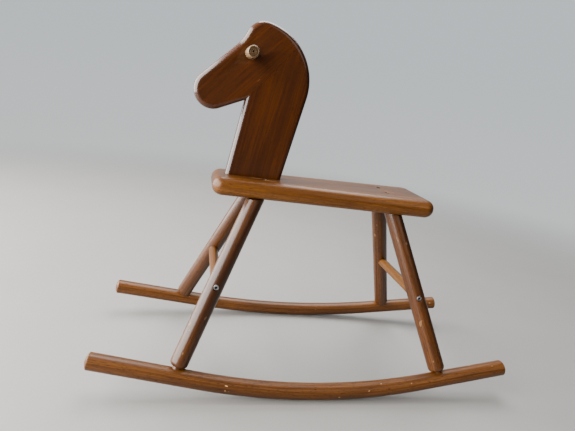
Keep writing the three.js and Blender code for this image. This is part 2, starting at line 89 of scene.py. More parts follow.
@dataclass(frozen=True)
class Sock:
    """An output socket whose arithmetic adds Math nodes to its tree."""

    tree: "Tree"
    out: bpy.types.NodeSocket

    def _math(self, operation: str, *values: "Value") -> "Sock":
        """Adds one Math node and returns its output."""
        return self.tree.node("ShaderNodeMath", {"operation": operation}, dict(enumerate(values)))

    def __add__(self, other: "Value") -> "Sock":
        """self + other"""
        return self._math("ADD", self, other)

    def __radd__(self, other: "Value") -> "Sock":
        """other + self"""
        return self._math("ADD", other, self)

    def __sub__(self, other: "Value") -> "Sock":
        """self - other"""
        return self._math("SUBTRACT", self, other)

    def __rsub__(self, other: "Value") -> "Sock":
        """other - self"""
        return self._math("SUBTRACT", other, self)

    def __mul__(self, other: "Value") -> "Sock":
        """self * other"""
        return self._math("MULTIPLY", self, other)

    def __rmul__(self, other: "Value") -> "Sock":
        """other * self"""
        return self._math("MULTIPLY", other, self)

    def __truediv__(self, other: "Value") -> "Sock":
        """self / other"""
        return self._math("DIVIDE", self, other)

    def call(self, operation: str, *others: "Value") -> "Sock":
        """Any other Math operation, such as SINE or MINIMUM, on self and others."""
        return self._math(operation, self, *others)

    def step(self, low: float, high: float) -> "Sock":
        """A smooth rise from 0 at low to 1 at high."""
        settings = {"interpolation_type": "SMOOTHSTEP"}
        limits = {"Value": self, "From Min": low, "From Max": high}
        return self.tree.node("ShaderNodeMapRange", settings, limits)

    def part(self, name: str) -> "Sock":
        """Another output of the same node, by name."""
        return Sock(self.tree, self.out.node.outputs[name])


Value = Union[Sock, float, int, Sequence[float]]


class Tree:
    """A node tree that is filled through one method."""

    def __init__(self, tree: bpy.types.NodeTree) -> None:
        """Wraps a Blender node tree, emptied of its nodes."""
        self.tree = tree
        self.tree.nodes.clear()

    def node(
        self,
        kind: str,
        settings: Optional[dict] = None,
        inputs: Optional[dict] = None,
        out: Union[int, str] = 0,
    ) -> Sock:
        """Adds a node.

        Args:
            kind: the node's type.
            settings: its properties, which are set first.
            inputs: socket name or number to a value or a Sock.
            out: the output that is returned, by name or number.

        Returns:
            That output, or an empty Sock on a node with none.
        """
        made = self.tree.nodes.new(kind)
        made.location = (200 * (len(self.tree.nodes) % 12), -240 * (len(self.tree.nodes) // 12))
        for name, value in (settings or {}).items():
            setattr(made, name, value)
        for name, value in (inputs or {}).items():
            socket = made.inputs[name]
            if isinstance(value, Sock):
                self.tree.links.new(value.out, socket)
            elif isinstance(value, tuple) and len(value) == 3 and socket.type == "RGBA":
                socket.default_value = (*value, 1)
            else:
                socket.default_value = value
        return Sock(self, made.outputs[out] if made.outputs else None)

    def mix(self, factor: Value, first: Value, second: Value) -> Sock:
        """Mixes two colours through a Mix node."""
        settings = {"data_type": "RGBA", "clamp_factor": True}
        return self.node("ShaderNodeMix", settings, {0: factor, 6: first, 7: second}, 2)

    def noise(self, vector: Sock, scale: float, detail: float = 2.0, roughness: float = 0.5) -> Sock:
        """The grey output of a 3-D noise on a vector."""
        inputs = {"Vector": vector, "Scale": scale, "Detail": detail, "Roughness": roughness}
        return self.node("ShaderNodeTexNoise", {}, inputs)

    def stretch(self, vector: Sock, scale: Sequence[float], shift: Sequence[float] = (0, 0, 0)) -> Sock:
        """A vector through a Mapping node."""
        return self.node("ShaderNodeMapping", {}, {"Vector": vector, "Scale": scale, "Location": shift})


# ---- Finishes ----


@dataclass(frozen=True)
class Nick:
    """A knock in the varnish: its place in the blank, its half-sizes, and whether it shows pale or dark."""

    place: tuple[float, float, float]
    size: tuple[float, float, float]
    pale: bool = False


# How finely each wood pattern repeats along, across and through the blank, per metre.
SLOW_WARP = (3.0, 22, 22)
QUICK_WARP = (14, 90, 90)
FIBRES = (16, 620, 620)
RAYS = (130, 800, 800)
TONES = (4, 16, 16)
STREAKS = (7, 260, 260)
SMUDGES = (9, 26, 26)
RAGGED_WEAR = (55, 320, 320)
KNOCKS = (60, 110, 110)
NICK_RIMS = (500, 900, 900)


@dataclass(frozen=True)
class WoodFinish:
    """Stained and varnished beech, patterned on the "timber" attribute: metres, with X along the grain.

    The blank's pith is the line y = z = 0, and the growth rings lie round it.
    """

    name: str
    light: Colour
    middle: Colour
    dark: Colour
    ring_contrast: float = 0.5
    fleck_depth: float = 0.45
    gloss: float = 0.26
    coat: float = 0.55
    haze: float = 0.2
    scuffs: float = 0.0
    end_darkness: float = 0.6
    nicks: tuple[Nick, ...] = ()
    scuff_colour: Colour = (0.50, 0.30, 0.14)
    # Near-black brown for dark knocks and for painted shade in recesses.
    grime_colour: Colour = (0.016, 0.007, 0.003)

    def material(self) -> bpy.types.Material:
        """Builds the material.

        Returns:
            A new material with this finish's name.
        """
        material = bpy.data.materials.new(self.name)
        material.use_nodes = True
        tree = Tree(material.node_tree)
        timber = tree.node("ShaderNodeAttribute", {"attribute_name": "timber"}, out="Vector")
        colour, fibre, fleck = self._grain(tree, timber)
        scuff, colour = self._scuffs(tree, timber, colour)
        smudge = tree.noise(tree.stretch(timber, SMUDGES), 1.0, 3)
        roughness = self.gloss + 0.1 * smudge + 0.08 * fibre + 0.3 * scuff
        height = 0.5 * fibre - 0.7 * fleck - 0.8 * scuff + 0.5 * tree.noise(timber, 60, 2)
        bump = tree.node("ShaderNodeBump", {}, {"Strength": 0.07, "Distance": 0.0006, "Height": height})
        inputs = {
            "Base Color": colour,
            "Roughness": roughness,
            "Normal": bump,
            "Coat Weight": self.coat - self.coat * 0.8 * scuff,
            "Coat Roughness": self.haze,
            "Specular IOR Level": 0.12,
        }
        surface = tree.node("ShaderNodeBsdfPrincipled", {}, inputs)
        tree.node("ShaderNodeOutputMaterial", {}, {"Surface": surface})
        return material

    def _grain(self, tree: Tree, timber: Sock) -> tuple[Sock, Sock, Sock]:
        """The stain over rings, fibres and ray flecks.

        Args:
            tree: the tree to add to.
            timber: the place in the blank.

        Returns:
            The colour, the fibre pattern and the fleck mask.
        """
        slow = tree.noise(tree.stretch(timber, SLOW_WARP), 1.0, 2) - 0.5
        quick = tree.noise(tree.stretch(timber, QUICK_WARP, (3, 1, 7)), 1.0, 3) - 0.5
        place = tree.node("ShaderNodeSeparateXYZ", {}, {"Vector": timber})
        across, deep = place.part("Y"), place.part("Z")
        radius = (across * across + deep * deep).call("SQRT") + 0.016 * slow + 0.0022 * quick
        settings = {"noise_dimensions": "1D"}
        narrow_rings = {"W": radius, "Scale": 240, "Detail": 3, "Roughness": 0.65}
        wide_rings = {"W": radius, "Scale": 75, "Detail": 2, "Roughness": 0.5}
        bands = tree.node("ShaderNodeTexNoise", settings, narrow_rings)
        wide = tree.node("ShaderNodeTexNoise", settings, wide_rings)
        fibre = tree.noise(tree.stretch(timber, FIBRES), 1.0, 3, 0.65)
        rays = tree.noise(tree.stretch(timber, RAYS, (5, 2, 1)), 1.0, 1, 0.4)
        fleck = rays.step(0.6, 0.68)
        tone = tree.noise(tree.stretch(timber, TONES, (2, 9, 4)), 1.0, 3)

        rings = bands.step(0.36, 0.66)
        depth = 0.35 * rings + 0.3 * wide.step(0.35, 0.68) + 0.35 * fibre.step(0.35, 0.65)
        contrast = depth * self.ring_contrast * 2 + (1 - self.ring_contrast) * 0.5
        stain = tree.mix(contrast, self.light, self.middle)
        shade = tone.step(0.4, 0.75) * 0.75
        stain = tree.mix(shade, stain, self.dark)
        streak = tree.noise(tree.stretch(timber, STREAKS, (8, 3, 6)), 1.0, 2, 0.55).step(0.52, 0.74)
        end = tree.node("ShaderNodeAttribute", {"attribute_name": "end_grain"}, out="Fac").step(0.55, 1.0)
        stain = tree.mix((streak * 0.55).call("MAXIMUM", end * self.end_darkness), stain, self.dark)
        return tree.mix(fleck * self.fleck_depth, stain, self.dark), fibre, fleck

    def _scuffs(self, tree: Tree, timber: Sock, colour: Sock) -> tuple[Sock, Sock]:
        """Wear along the floor line, knocks in the varnish, and painted shade in recesses.

        Args:
            tree: the tree to add to.
            timber: the place in the blank.
            colour: the colour under the wear.

        Returns:
            The mask of wear, knocks and painted shade, and the colour with all of them.
        """
        worn = tree.node("ShaderNodeAttribute", {"attribute_name": "worn"}, out="Fac")
        ragged = tree.noise(tree.stretch(timber, RAGGED_WEAR), 1.0, 4, 0.65)
        pale = (worn + ragged * 0.9 - 0.9).step(0.02, 0.3)
        knocks = tree.noise(tree.stretch(timber, KNOCKS, (1, 5, 3)), 1.0, 1, 0.3).step(0.76, 0.78)
        pale = pale.call("MAXIMUM", knocks * self.scuffs)
        # Painted shade: this attribute marks recesses, such as the handle's end grooves and centre hole, to
        # be darkened as if shade fell in them; dark knocks join the same mask below.
        dark = tree.node("ShaderNodeAttribute", {"attribute_name": "grime"}, out="Fac")
        rim = tree.noise(tree.stretch(timber, NICK_RIMS), 1.0, 2) * 0.9
        for nick in self.nicks:
            away = tree.node("ShaderNodeVectorMath", {"operation": "SUBTRACT"}, {0: timber, 1: nick.place})
            away = tree.node("ShaderNodeVectorMath", {"operation": "DIVIDE"}, {0: away, 1: nick.size})
            away = tree.node("ShaderNodeVectorMath", {"operation": "LENGTH"}, {0: away}, "Value")
            hit = 1 - (away + rim).step(0.9, 1.4)
            pale, dark = (pale.call("MAXIMUM", hit), dark) if nick.pale else (pale, dark.call("MAXIMUM", hit))
        colour = tree.mix(pale * 0.75, colour, self.scuff_colour)
        # The dark mask mixes real dark knocks and painted recess shade towards one near-black colour, and the
        # returned mask holds both.
        return pale.call("MAXIMUM", dark), tree.mix(dark * 0.85, colour, self.grime_colour)


@dataclass(frozen=True)
class MetalFinish:
    """Plated or bare metal with faint smears, patterned on Object coordinates, and darkened with painted
    shade where a point attribute marks a socket.
    """

    name: str
    bright: Colour
    dull: Colour
    roughness: float = 0.3

    def material(self) -> bpy.types.Material:
        """Builds the material.

        Returns:
            A new material with this finish's name.
        """
        material = bpy.data.materials.new(self.name)
        material.use_nodes = True
        tree = Tree(material.node_tree)
        place = tree.node("ShaderNodeTexCoord", out="Object")
        smear = tree.noise(tree.stretch(place, (900, 900, 260)), 1.0, 3, 0.6)
        blotch = tree.noise(place, 420, 2)
        grime = tree.node("ShaderNodeAttribute", {"attribute_name": "grime"}, out="Fac")
        colour = tree.mix(smear * 0.5 + blotch * 0.5, self.bright, self.dull)
        # Painted shade: marked socket surfaces are darkened almost to black, standing in for the shade deep
        # in the socket.
        colour = tree.mix(grime * 0.92, colour, (0.012, 0.010, 0.008))
        roughness = self.roughness + 0.2 * smear + 0.3 * grime
        bump = tree.node("ShaderNodeBump", {}, {"Strength": 0.08, "Distance": 0.0002, "Height": smear})
        inputs = {"Base Color": colour, "Metallic": 1.0, "Roughness": roughness, "Normal": bump}
        surface = tree.node("ShaderNodeBsdfPrincipled", {}, inputs)
        tree.node("ShaderNodeOutputMaterial", {}, {"Surface": surface})
        return material


SEAT_MARKS = (
    Nick((4.8600, -0.0020, 0.089), (14 * MM, 3 * MM, 3 * MM), True),
    Nick((4.8852, -0.0125, 0.089), (18 * MM, 5 * MM, 3 * MM), True),
    Nick((4.9080, -0.0050, 0.089), (9 * MM, 3 * MM, 3 * MM), True),
    Nick((4.8830, 0.0030, 0.089), (12 * MM, 4 * MM, 3 * MM)),
)
BOARD_MARKS = (
    Nick((8.0561, 0.0073, 0.031), (3.2 * MM, 0.7 * MM, 2 * MM), True),
    Nick((8.0405, 0.0398, 0.031), (4.5 * MM, 0.5 * MM, 2 * MM), True),
)
ROCKER_MARKS = (
    Nick((-1.3128, -0.0008, 0.0223), (4.2 * MM, 1.1 * MM, 1.1 * MM)),
    Nick((-1.3030, -0.0006, 0.0219), (2.6 * MM, 0.9 * MM, 0.9 * MM)),
    Nick((-1.2839, -0.0005, 0.0216), (4.4 * MM, 1.2 * MM, 1.2 * MM)),
    Nick((-1.0022, -0.0011, 0.0372), (2.8 * MM, 1.1 * MM, 1.1 * MM)),
    Nick((-1.1656, -0.0016, 0.0238), (1.8 * MM, 1.1 * MM, 1.1 * MM), True),
    Nick((-1.1590, -0.0016, 0.0230), (1.0 * MM, 0.8 * MM, 0.8 * MM), True),
    Nick((-0.6283, 0.0011, 0.0402), (1.6 * MM, 0.9 * MM, 0.9 * MM), True),
)
SEAT_FINISH = WoodFinish(
    "seat_varnish",
    light=(0.155, 0.056, 0.0070),
    middle=(0.080, 0.0260, 0.0028),
    dark=(0.030, 0.0085, 0.0009),
    ring_contrast=0.85,
    fleck_depth=0.6,
    gloss=0.36,
    coat=0.3,
    haze=0.24,
    scuffs=0.3,
    nicks=SEAT_MARKS,
    scuff_colour=(0.20, 0.095, 0.035),
)
BOARD_FINISH = WoodFinish(
    "board_varnish",
    light=(0.064, 0.0160, 0.0004),
    middle=(0.035, 0.0084, 0.0002),
    dark=(0.014, 0.0031, 0.0001),
    ring_contrast=0.75,
    fleck_depth=0.4,
    gloss=0.34,
    coat=0.7,
    haze=0.12,
    nicks=BOARD_MARKS,
    scuff_colour=(0.15, 0.065, 0.018),
)
LEG_FINISH = WoodFinish(
    "leg_varnish",
    light=(0.100, 0.033, 0.0035),
    middle=(0.047, 0.0135, 0.0013),
    dark=(0.016, 0.0040, 0.0004),
    ring_contrast=0.85,
    fleck_depth=0.8,
    gloss=0.42,
    coat=0.55,
    haze=0.26,
    scuffs=0.2,
)
ROCKER_FINISH = WoodFinish(
    "rocker_varnish",
    light=(0.135, 0.047, 0.0060),
    middle=(0.068, 0.0215, 0.0025),
    dark=(0.024, 0.0068, 0.0008),
    ring_contrast=0.85,
    fleck_depth=0.8,
    gloss=0.4,
    coat=0.35,
    haze=0.3,
    scuffs=1.0,
    end_darkness=0.3,
    nicks=ROCKER_MARKS,
)
STRETCHER_FINISH = WoodFinish(
    "stretcher_varnish",
    light=(0.140, 0.056, 0.0090),
    middle=(0.085, 0.031, 0.0042),
    dark=(0.040, 0.012, 0.0016),
    ring_contrast=0.65,
    fleck_depth=0.6,
    gloss=0.36,
    coat=0.3,
)
HANDLE_FINISH = WoodFinish(
    "handle_varnish",
    light=(0.24, 0.16, 0.09),
    middle=(0.17, 0.11, 0.055),
    dark=(0.04, 0.018, 0.006),
    fleck_depth=0.3,
    gloss=0.3,
    coat=0.4,
    end_darkness=0.9,
)
DOWEL_FINISH = WoodFinish(
    "dowel_wood",
    light=(0.70, 0.52, 0.33),
    middle=(0.58, 0.40, 0.23),
    dark=(0.40, 0.25, 0.13),
    gloss=0.55,
    coat=0.0,
)
ZINC_FINISH = MetalFinish("zinc_plate", (0.46, 0.46, 0.47), (0.20, 0.20, 0.205), 0.4)
BRASS_FINISH = MetalFinish("plain_brass", (0.74, 0.56, 0.27), (0.48, 0.34, 0.14))


# ---- Mesh helpers ----


def quarter_round(radius: float, along: float, bend: float, way: int, steps: int = 8) -> list[Pair]:
    """A rod end's quarter round.

    Args:
        radius: the rod's radius.
        along: where the end face lies.
        bend: the rounding's radius.
        way: 1 at the top end, -1 at the bottom end.
        steps: facets in the quarter.

    Returns:
        (radius, along) pairs in rising order of along.
    """
    angles = [math.pi / 2 * i / steps for i in range(steps + 1)]
    pairs = [(radius - bend + bend * math.cos(a), along + way * bend * (math.sin(a) - 1)) for a in angles]
    return pairs if way > 0 else pairs[::-1]


def domed(
    radius: float, along: float, rise: float, arris: float, way: int, steps: int = 9
) -> list[Pair]:
    """A rod's domed end, with its rim softened.

    Args:
        radius: the rod's radius.
        along: where the dome's top lies.
        rise: the dome's height over its rim.
        arris: the rim's rounding.
        way: 1 at the top end, -1 at the bottom end.
        steps: facets from the rim to the axis.

    Returns:
        (radius, along) pairs in rising order of along, down to the axis.
    """
    dome = (radius**2 + rise**2) / (2 * rise)
    widest = math.asin((radius - arris) / dome)
    angles = [widest * (1 - i / steps) for i in range(steps + 1)]
    rim = along - way * dome * (1 - math.cos(widest))
    pairs = [(radius, rim - way * 1.3 * arris), (radius - 0.3 * arris, rim - way * 0.45 * arris)]
    pairs += [(dome * math.sin(a), along - way * dome * (1 - math.cos(a))) for a in angles]
    return pairs if way > 0 else pairs[::-1]


def plain_mesh(name: str, points: Sequence, edges: Sequence = (), faces: Sequence = ()) -> bpy.types.Object:
    """Links a mesh object made from lists of points, edges and faces."""
    mesh = bpy.data.meshes.new(name)
    mesh.from_pydata([tuple(p) for p in points], list(edges), list(faces))
    thing = bpy.data.objects.new(name, mesh)
    bpy.context.scene.collection.objects.link(thing)
    return thing


def discard(thing: bpy.types.Object) -> None:
    """Removes an object that only helped to make another."""
    bpy.data.objects.remove(thing, do_unlink=True)


def bake_modifiers(thing: bpy.types.Object) -> None:
    """Turns an object's evaluated shape into its plain mesh and drops its modifiers."""
    bpy.context.view_layer.update()
    graph = bpy.context.evaluated_depsgraph_get()
    mesh = bpy.data.meshes.new_from_object(thing.evaluated_get(graph), depsgraph=graph)
    thing.modifiers.clear()
    thing.data = mesh
    mesh.name = thing.name


def stand_at(point: Vector, way: Vector) -> Matrix:
    """The matrix that stands a shape made along +Z at a point, along a way."""
    return Matrix.Translation(point) @ Z_WAY.rotation_difference(way).to_matrix().to_4x4()


def tidy_mesh(thing: bpy.types.Object, sharp: float = 25.0) -> None:
    """Merges doubles, points the faces outwards and shades smooth up to an angle in degrees."""
    shape = bmesh.new()
    shape.from_mesh(thing.data)
    bmesh.ops.remove_doubles(shape, verts=shape.verts, dist=WELD)
    bmesh.ops.dissolve_degenerate(shape, edges=shape.edges, dist=WELD / 2)
    bmesh.ops.recalc_face_normals(shape, faces=shape.faces)
    for face in shape.faces:
        face.smooth = True
    for edge in shape.edges:
        edge.smooth = len(edge.link_faces) != 2 or edge.calc_face_angle(0) < math.radians(sharp)
    shape.to_mesh(thing.data)
    shape.free()


class Lathe:
    """Turned shapes, made by Geometry Nodes from a profile of (radius, along) pairs."""

    def __init__(self) -> None:
        """Builds the two trees: one that turns a profile, and one that bends a rod."""
        self.turning = self._turning_tree()
        self.bending = self._bending_tree()

    @staticmethod
    def _group(name: str, inputs: dict[str, str]) -> tuple[Tree, Sock]:
        """A Geometry Nodes tree with named inputs.

        Args:
            name: the tree's name.
            inputs: input name to socket type.

        Returns:
            The tree and its Geometry input.
        """
        group = bpy.data.node_groups.new(name, "GeometryNodeTree")
        group.interface.new_socket("Geometry", in_out="INPUT", socket_type="NodeSocketGeometry")
        for label, kind in inputs.items():
            group.interface.new_socket(label, in_out="INPUT", socket_type=kind)
        group.interface.new_socket("Geometry", in_out="OUTPUT", socket_type="NodeSocketGeometry")
        tree = Tree(group)
        return tree, tree.node("NodeGroupInput", out="Geometry")

    @staticmethod
    def _close(tree: Tree, shape: Sock, material: Sock) -> bpy.types.NodeTree:
        """Ends a tree in Set Shade Smooth, Realize Instances and Set Material."""
        shape = tree.node("GeometryNodeSetShadeSmooth", {}, {"Geometry": shape})
        shape = tree.node("GeometryNodeRealizeInstances", {}, {"Geometry": shape})
        shape = tree.node("GeometryNodeSetMaterial", {}, {"Geometry": shape, "Material": material})
        tree.node("NodeGroupOutput", {}, {"Geometry": shape})
        return tree.tree

    def _turning_tree(self) -> bpy.types.NodeTree:
        """Sweeps the input's points, in order, round the Z axis: one row of a grid for each point."""
        inputs = {"Sides": "NodeSocketInt", "Material": "NodeSocketMaterial"}
        tree, profile = self._group("turn_profile", inputs)
        sides = profile.part("Sides")
        rows = tree.node("GeometryNodeAttributeDomainSize", {"component": "MESH"}, {"Geometry": profile})
        sizes = {"Size X": 1.0, "Size Y": 1.0, "Vertices X": rows, "Vertices Y": sides + 1}
        grid = tree.node("GeometryNodeMeshGrid", {}, sizes)
        index = tree.node("GeometryNodeInputIndex")
        row = ((index + 0.5) / (sides + 1)).call("FLOOR")
        column = index - row * (sides + 1)
        place = tree.node("GeometryNodeInputPosition")
        settings = {"data_type": "FLOAT_VECTOR", "domain": "POINT"}
        sampled = {"Geometry": profile, "Value": place, "Index": row}
        point = tree.node("GeometryNodeSampleIndex", settings, sampled)
        pair = tree.node("ShaderNodeSeparateXYZ", {}, {"Vector": point})
        radius, along = pair.part("X"), pair.part("Z")
        angle = column * math.tau / sides
        spun = {"X": radius * angle.call("COSINE"), "Y": radius * angle.call("SINE"), "Z": along}
        turned = tree.node("ShaderNodeCombineXYZ", {}, spun)
        shape = tree.node("GeometryNodeSetPosition", {}, {"Geometry": grid, "Position": turned})
        shape = tree.node("GeometryNodeMergeByDistance", {}, {"Geometry": shape, "Distance": WELD})
        return self._close(tree, shape, profile.part("Material"))

    def _bending_tree(self) -> bpy.types.NodeTree:
        """Bends a rod that lies along X upwards: an arc in the middle, and straight ends."""
        numbers = {"Bend Radius": "NodeSocketFloat", "Bent Length": "NodeSocketFloat"}
        tree, rod = self._group("bend_rod", {**numbers, "Material": "NodeSocketMaterial"})
        bend, bent = rod.part("Bend Radius"), rod.part("Bent Length")
        place = tree.node("ShaderNodeSeparateXYZ", {}, {"Vector": tree.node("GeometryNodeInputPosition")})
        along, height = place.part("X"), place.part("Z")
        reach = along.call("ABSOLUTE").call("MINIMUM", bent) * along.call("SIGN")
        angle, beyond = reach / bend, along - reach
        sine, cosine = angle.call("SINE"), angle.call("COSINE")
        lowered = {
            "X": bend * sine + beyond * cosine - height * sine,
            "Y": place.part("Y"),
            "Z": bend * (1 - cosine) + beyond * sine + height * cosine,
        }
        moved = tree.node("ShaderNodeCombineXYZ", {}, lowered)
        shape = tree.node("GeometryNodeSetPosition", {}, {"Geometry": rod, "Position": moved})
        return self._close(tree, shape, rod.part("Material"))

    @staticmethod
    def run(thing: bpy.types.Object, group: bpy.types.NodeTree, values: dict) -> None:
        """Puts a tree on an object, sets its inputs by identifier and bakes the result.

        Args:
            thing: the object that the tree works on.
            group: the Geometry Nodes tree.
            values: input name to value.
        """
        modifier = thing.modifiers.new(group.name, "NODES")
        modifier.node_group = group
        for item in group.interface.items_tree:
            if item.item_type == "SOCKET" and item.in_out == "INPUT" and item.name in values:
                modifier[item.identifier] = values[item.name]
        bake_modifiers(thing)

    def turn(self, name: str, profile: Sequence[Pair], sides: int = 64) -> bpy.types.Object:
        """Turns a profile round Z.

        Args:
            name: the object's name.
            profile: (radius, along) pairs from axis to axis.
            sides: facets round the axis.

        Returns:
            The turned object.
        """
        edges = [(i, i + 1) for i in range(len(profile) - 1)]
        thing = plain_mesh(name, [(radius, 0, along) for radius, along in profile], edges)
        self.run(thing, self.turning, {"Sides": sides})
        return thing

    def drill(self, start: Vector, end: Vector, steps: Sequence[Pair], sides: int = 40) -> bpy.types.Object:
        """A stepped hole cutter.

        Args:
            start: the hole's deep end.
            end: a point beyond its mouth.
            steps: (radius, distance from start) where each new radius begins, from the deep end.
            sides: facets round the hole.

        Returns:
            The cutter, in place.
        """
        length = (end - start).length
        profile = [(0.0, 0.0)]
        for (radius, low), high in zip(steps, [*(low for _, low in steps[1:]), length]):
            profile += [(radius, low), (radius, high)]
        cutter = self.turn("cutter", [*profile, (0.0, length)], sides)
        cutter.data.transform(stand_at(start, end - start))
        tidy_mesh(cutter)
        return cutter


def carve(thing: bpy.types.Object, cutters: Sequence[bpy.types.Object], soften: float = 0.0004) -> None:
    """Cuts holes in an object and softens their rims.

    Args:
        thing: the object to cut.
        cutters: closed objects, removed afterwards.
        soften: the width of the rims' bevel.
    """
    for cutter in cutters:
        modifier = thing.modifiers.new("cut", "BOOLEAN")
        modifier.operation = "DIFFERENCE"
        modifier.solver = "EXACT"
        modifier.object = cutter
    bake_modifiers(thing)
    for cutter in cutters:
        discard(cutter)
    tidy_mesh(thing)
    if soften:
        bevel = thing.modifiers.new("rims", "BEVEL")
        bevel.width = soften
        bevel.segments = 2
        bevel.limit_method = "ANGLE"
        bevel.angle_limit = math.radians(50)
        bake_modifiers(thing)
        tidy_mesh(thing)


def saw(thing: bpy.types.Object, point: Vector, keep: Vector) -> None:
    """Saws a piece flat and keeps the side that a direction points to.

    Args:
        thing: the piece.
        point: a point on the cut.
        keep: the direction square to the cut, into the kept side.
    """
    shape = bmesh.new()
    shape.from_mesh(thing.data)
    parts = [*shape.verts, *shape.edges, *shape.faces]
    cut = bmesh.ops.bisect_plane(shape, geom=parts, plane_co=point, plane_no=keep, clear_inner=True)
    rim = [item for item in cut["geom_cut"] if isinstance(item, bmesh.types.BMEdge)]
    bmesh.ops.holes_fill(shape, edges=rim, sides=0)
    shape.to_mesh(thing.data)
    shape.free()
    tidy_mesh(thing)


@dataclass(frozen=True)
class Grain:
    """How a piece lies in its blank: where its origin is from the pith, and which way the grain runs."""

    origin: Vector
    along: Vector
    up: Vector
    pith: tuple[float, float, float]

    def place(self, points: np.ndarray) -> np.ndarray:
        """The places in the blank of an array of points."""
        along = self.along.normalized()
        across = self.up.cross(along).normalized()
        deep = along.cross(across)
        axes = np.array([along, across, deep])
        return (points - np.array(self.origin)) @ axes.T + np.array(self.pith)


def stamp_timber(
    thing: bpy.types.Object,
    place: Callable[[np.ndarray], np.ndarray],
    worn: Optional[Callable[[np.ndarray], np.ndarray]] = None,
    grime: Optional[Callable[[np.ndarray], np.ndarray]] = None,
) -> None:
    """Stores each point's place in its blank, its wear and its painted shade in recesses, and each corner's
    share of end grain.

    Args:
        thing: the piece.
        place: maps an array of points to places in the blank.
        worn: maps an array of points to wear from 0 to 1.
        grime: maps an array of points to painted shade in recesses, from 0 to 1.
    """
    mesh = thing.data
    points = np.zeros(len(mesh.vertices) * 3, np.float32)
    normals = np.zeros(len(mesh.loops) * 3, np.float32)
    corners = np.zeros(len(mesh.loops), np.int32)
    mesh.vertices.foreach_get("co", points)
    mesh.corner_normals.foreach_get("vector", normals)
    mesh.loops.foreach_get("vertex_index", corners)
    points, normals = points.reshape(-1, 3).astype(float), normals.reshape(-1, 3).astype(float)
    timber = place(points)
    step = 0.1 * MM
    facing = np.abs(place(points[corners] + step * normals)[:, 0] - timber[corners, 0]) / step
    wear, recess_shade_values = (pattern(points) if pattern else np.zeros(len(points)) for pattern in (worn, grime))
    stored = mesh.attributes.new("timber", "FLOAT_VECTOR", "POINT")
    stored.data.foreach_set("vector", timber.astype(np.float32).ravel())
    # The second of these patterns is painted shade in recesses, which the finishes darken.
    patterns = (("worn", "POINT", wear), ("grime", "POINT", recess_shade_values), ("end_grain", "CORNER", facing))
    for name, domain, values in patterns:
        stored = mesh.attributes.new(name, "FLOAT", domain)
        stored.data.foreach_set("value", values.astype(np.float32))


def fit(thing: bpy.types.Object, material: bpy.types.Material, nodes: Sequence[str]) -> None:
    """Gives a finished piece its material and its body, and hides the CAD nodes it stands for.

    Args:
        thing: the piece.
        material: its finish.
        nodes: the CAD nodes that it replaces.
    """
    thing.data.materials.clear()
    thing.data.materials.append(material)
    for polygon in thing.data.polygons:
        polygon.material_index = 0
    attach(thing, "root")
    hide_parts(*nodes)
    log.info("%s: %d faces, for %s", thing.name, len(thing.data.polygons), ", ".join(nodes))


# ---- The legs' axes, which several assemblies share ----


@dataclass(frozen=True)
class Plan:
    """Driving sizes that more than one assembly follows, and the leg axes that come from them."""

    rocker_radius: float = 15 * MM
    rocker_half: float = 400 * MM
    bend_radius: float = 1300 * MM
    bent_half: float = 215 * MM
    half_track: float = 158 * MM
    leg_radius: float = 16 * MM
    tenon_radius: float = 8 * MM
    foot_x: float = 256 * MM
    hip_x: float = 137 * MM
    hip_y: float = 35 * MM
    seat_tenon: float = 20 * MM
    seat_under: float = field(default_factory=lambda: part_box("seat_board")[0].z)
    seat_top: float = field(default_factory=lambda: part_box("seat_board")[1].z)
    stretcher_radius: float = 9.5 * MM
    stretcher_socket: float = 8 * MM
    bolt_recess: float = 7 * MM
    seat_screw_recess: float = 11 * MM
    rocker_screw_recess: float = 8 * MM
    neck_screw_recess: float = 10 * MM
    recess_radius: float = 4.3 * MM
    screw_hole: float = 2.3 * MM
    gap: float = 0.1 * MM

    @property
    def lean(self) -> float:
        """The side frames' lean from upright."""
        return math.atan2(self.half_track - self.hip_y, self.seat_under - self.rocker_radius)

    @property
    def end_slope(self) -> float:
        """The slope of the rockers' straight ends."""
        return math.asin(self.bent_half / self.bend_radius)

    def rise(self, x: float) -> float:
        """The rocker axis's height above its lowest point, in the side frame's plane."""
        bent = min(abs(x), self.bent_half)
        arc = self.bend_radius - math.sqrt(self.bend_radius**2 - bent**2)
        return arc + (abs(x) - bent) * math.tan(self.end_slope)

    def foot(self, end: End, side: Side) -> Vector:
        """Where a leg's axis meets its rocker's axis."""
        rise = self.rise(self.foot_x)
        across = self.half_track - rise * math.sin(self.lean)
        height = self.rocker_radius + rise * math.cos(self.lean)
        return Vector((end.value * self.foot_x, side.value * across, height))

    def hip(self, end: End, side: Side) -> Vector:
        """Where a leg's axis meets the seat's underside."""
        return Vector((end.value * self.hip_x, side.value * self.hip_y, self.seat_under))

    def leg_way(self, end: End, side: Side) -> Vector:
        """A leg's direction, upwards."""
        return (self.hip(end, side) - self.foot(end, side)).normalized()

    def middle(self, end: End, side: Side) -> Vector:
        """The middle of a leg's axis, where its stretcher meets it."""
        return self.foot(end, side).lerp(self.hip(end, side), 0.5)

    def chord(self, end: End, side: Side) -> float:
        """From a leg's axis to its skin, along Y."""
        return self.leg_radius / math.sqrt(1 - self.leg_way(end, side).y ** 2)

    @property
    def foot_lean(self) -> float:
        """The angle between a leg and the rocker's square-on direction at its foot."""
        hip_height = math.hypot(self.half_track - self.hip_y, self.seat_under - self.rocker_radius)
        return math.atan2(self.foot_x - self.hip_x, hip_height - self.rise(self.foot_x)) - self.end_slope

    @property
    def rocker_along(self) -> float:
        """From the rocker's axis to its skin, along a leg."""
        return self.rocker_radius / math.cos(self.foot_lean)

    def seat_along(self, end: End, side: Side) -> float:
        """The seat's thickness along a leg."""
        return (self.seat_top - self.seat_under) / self.leg_way(end, side).z


# ---- Sub-assemblies ----


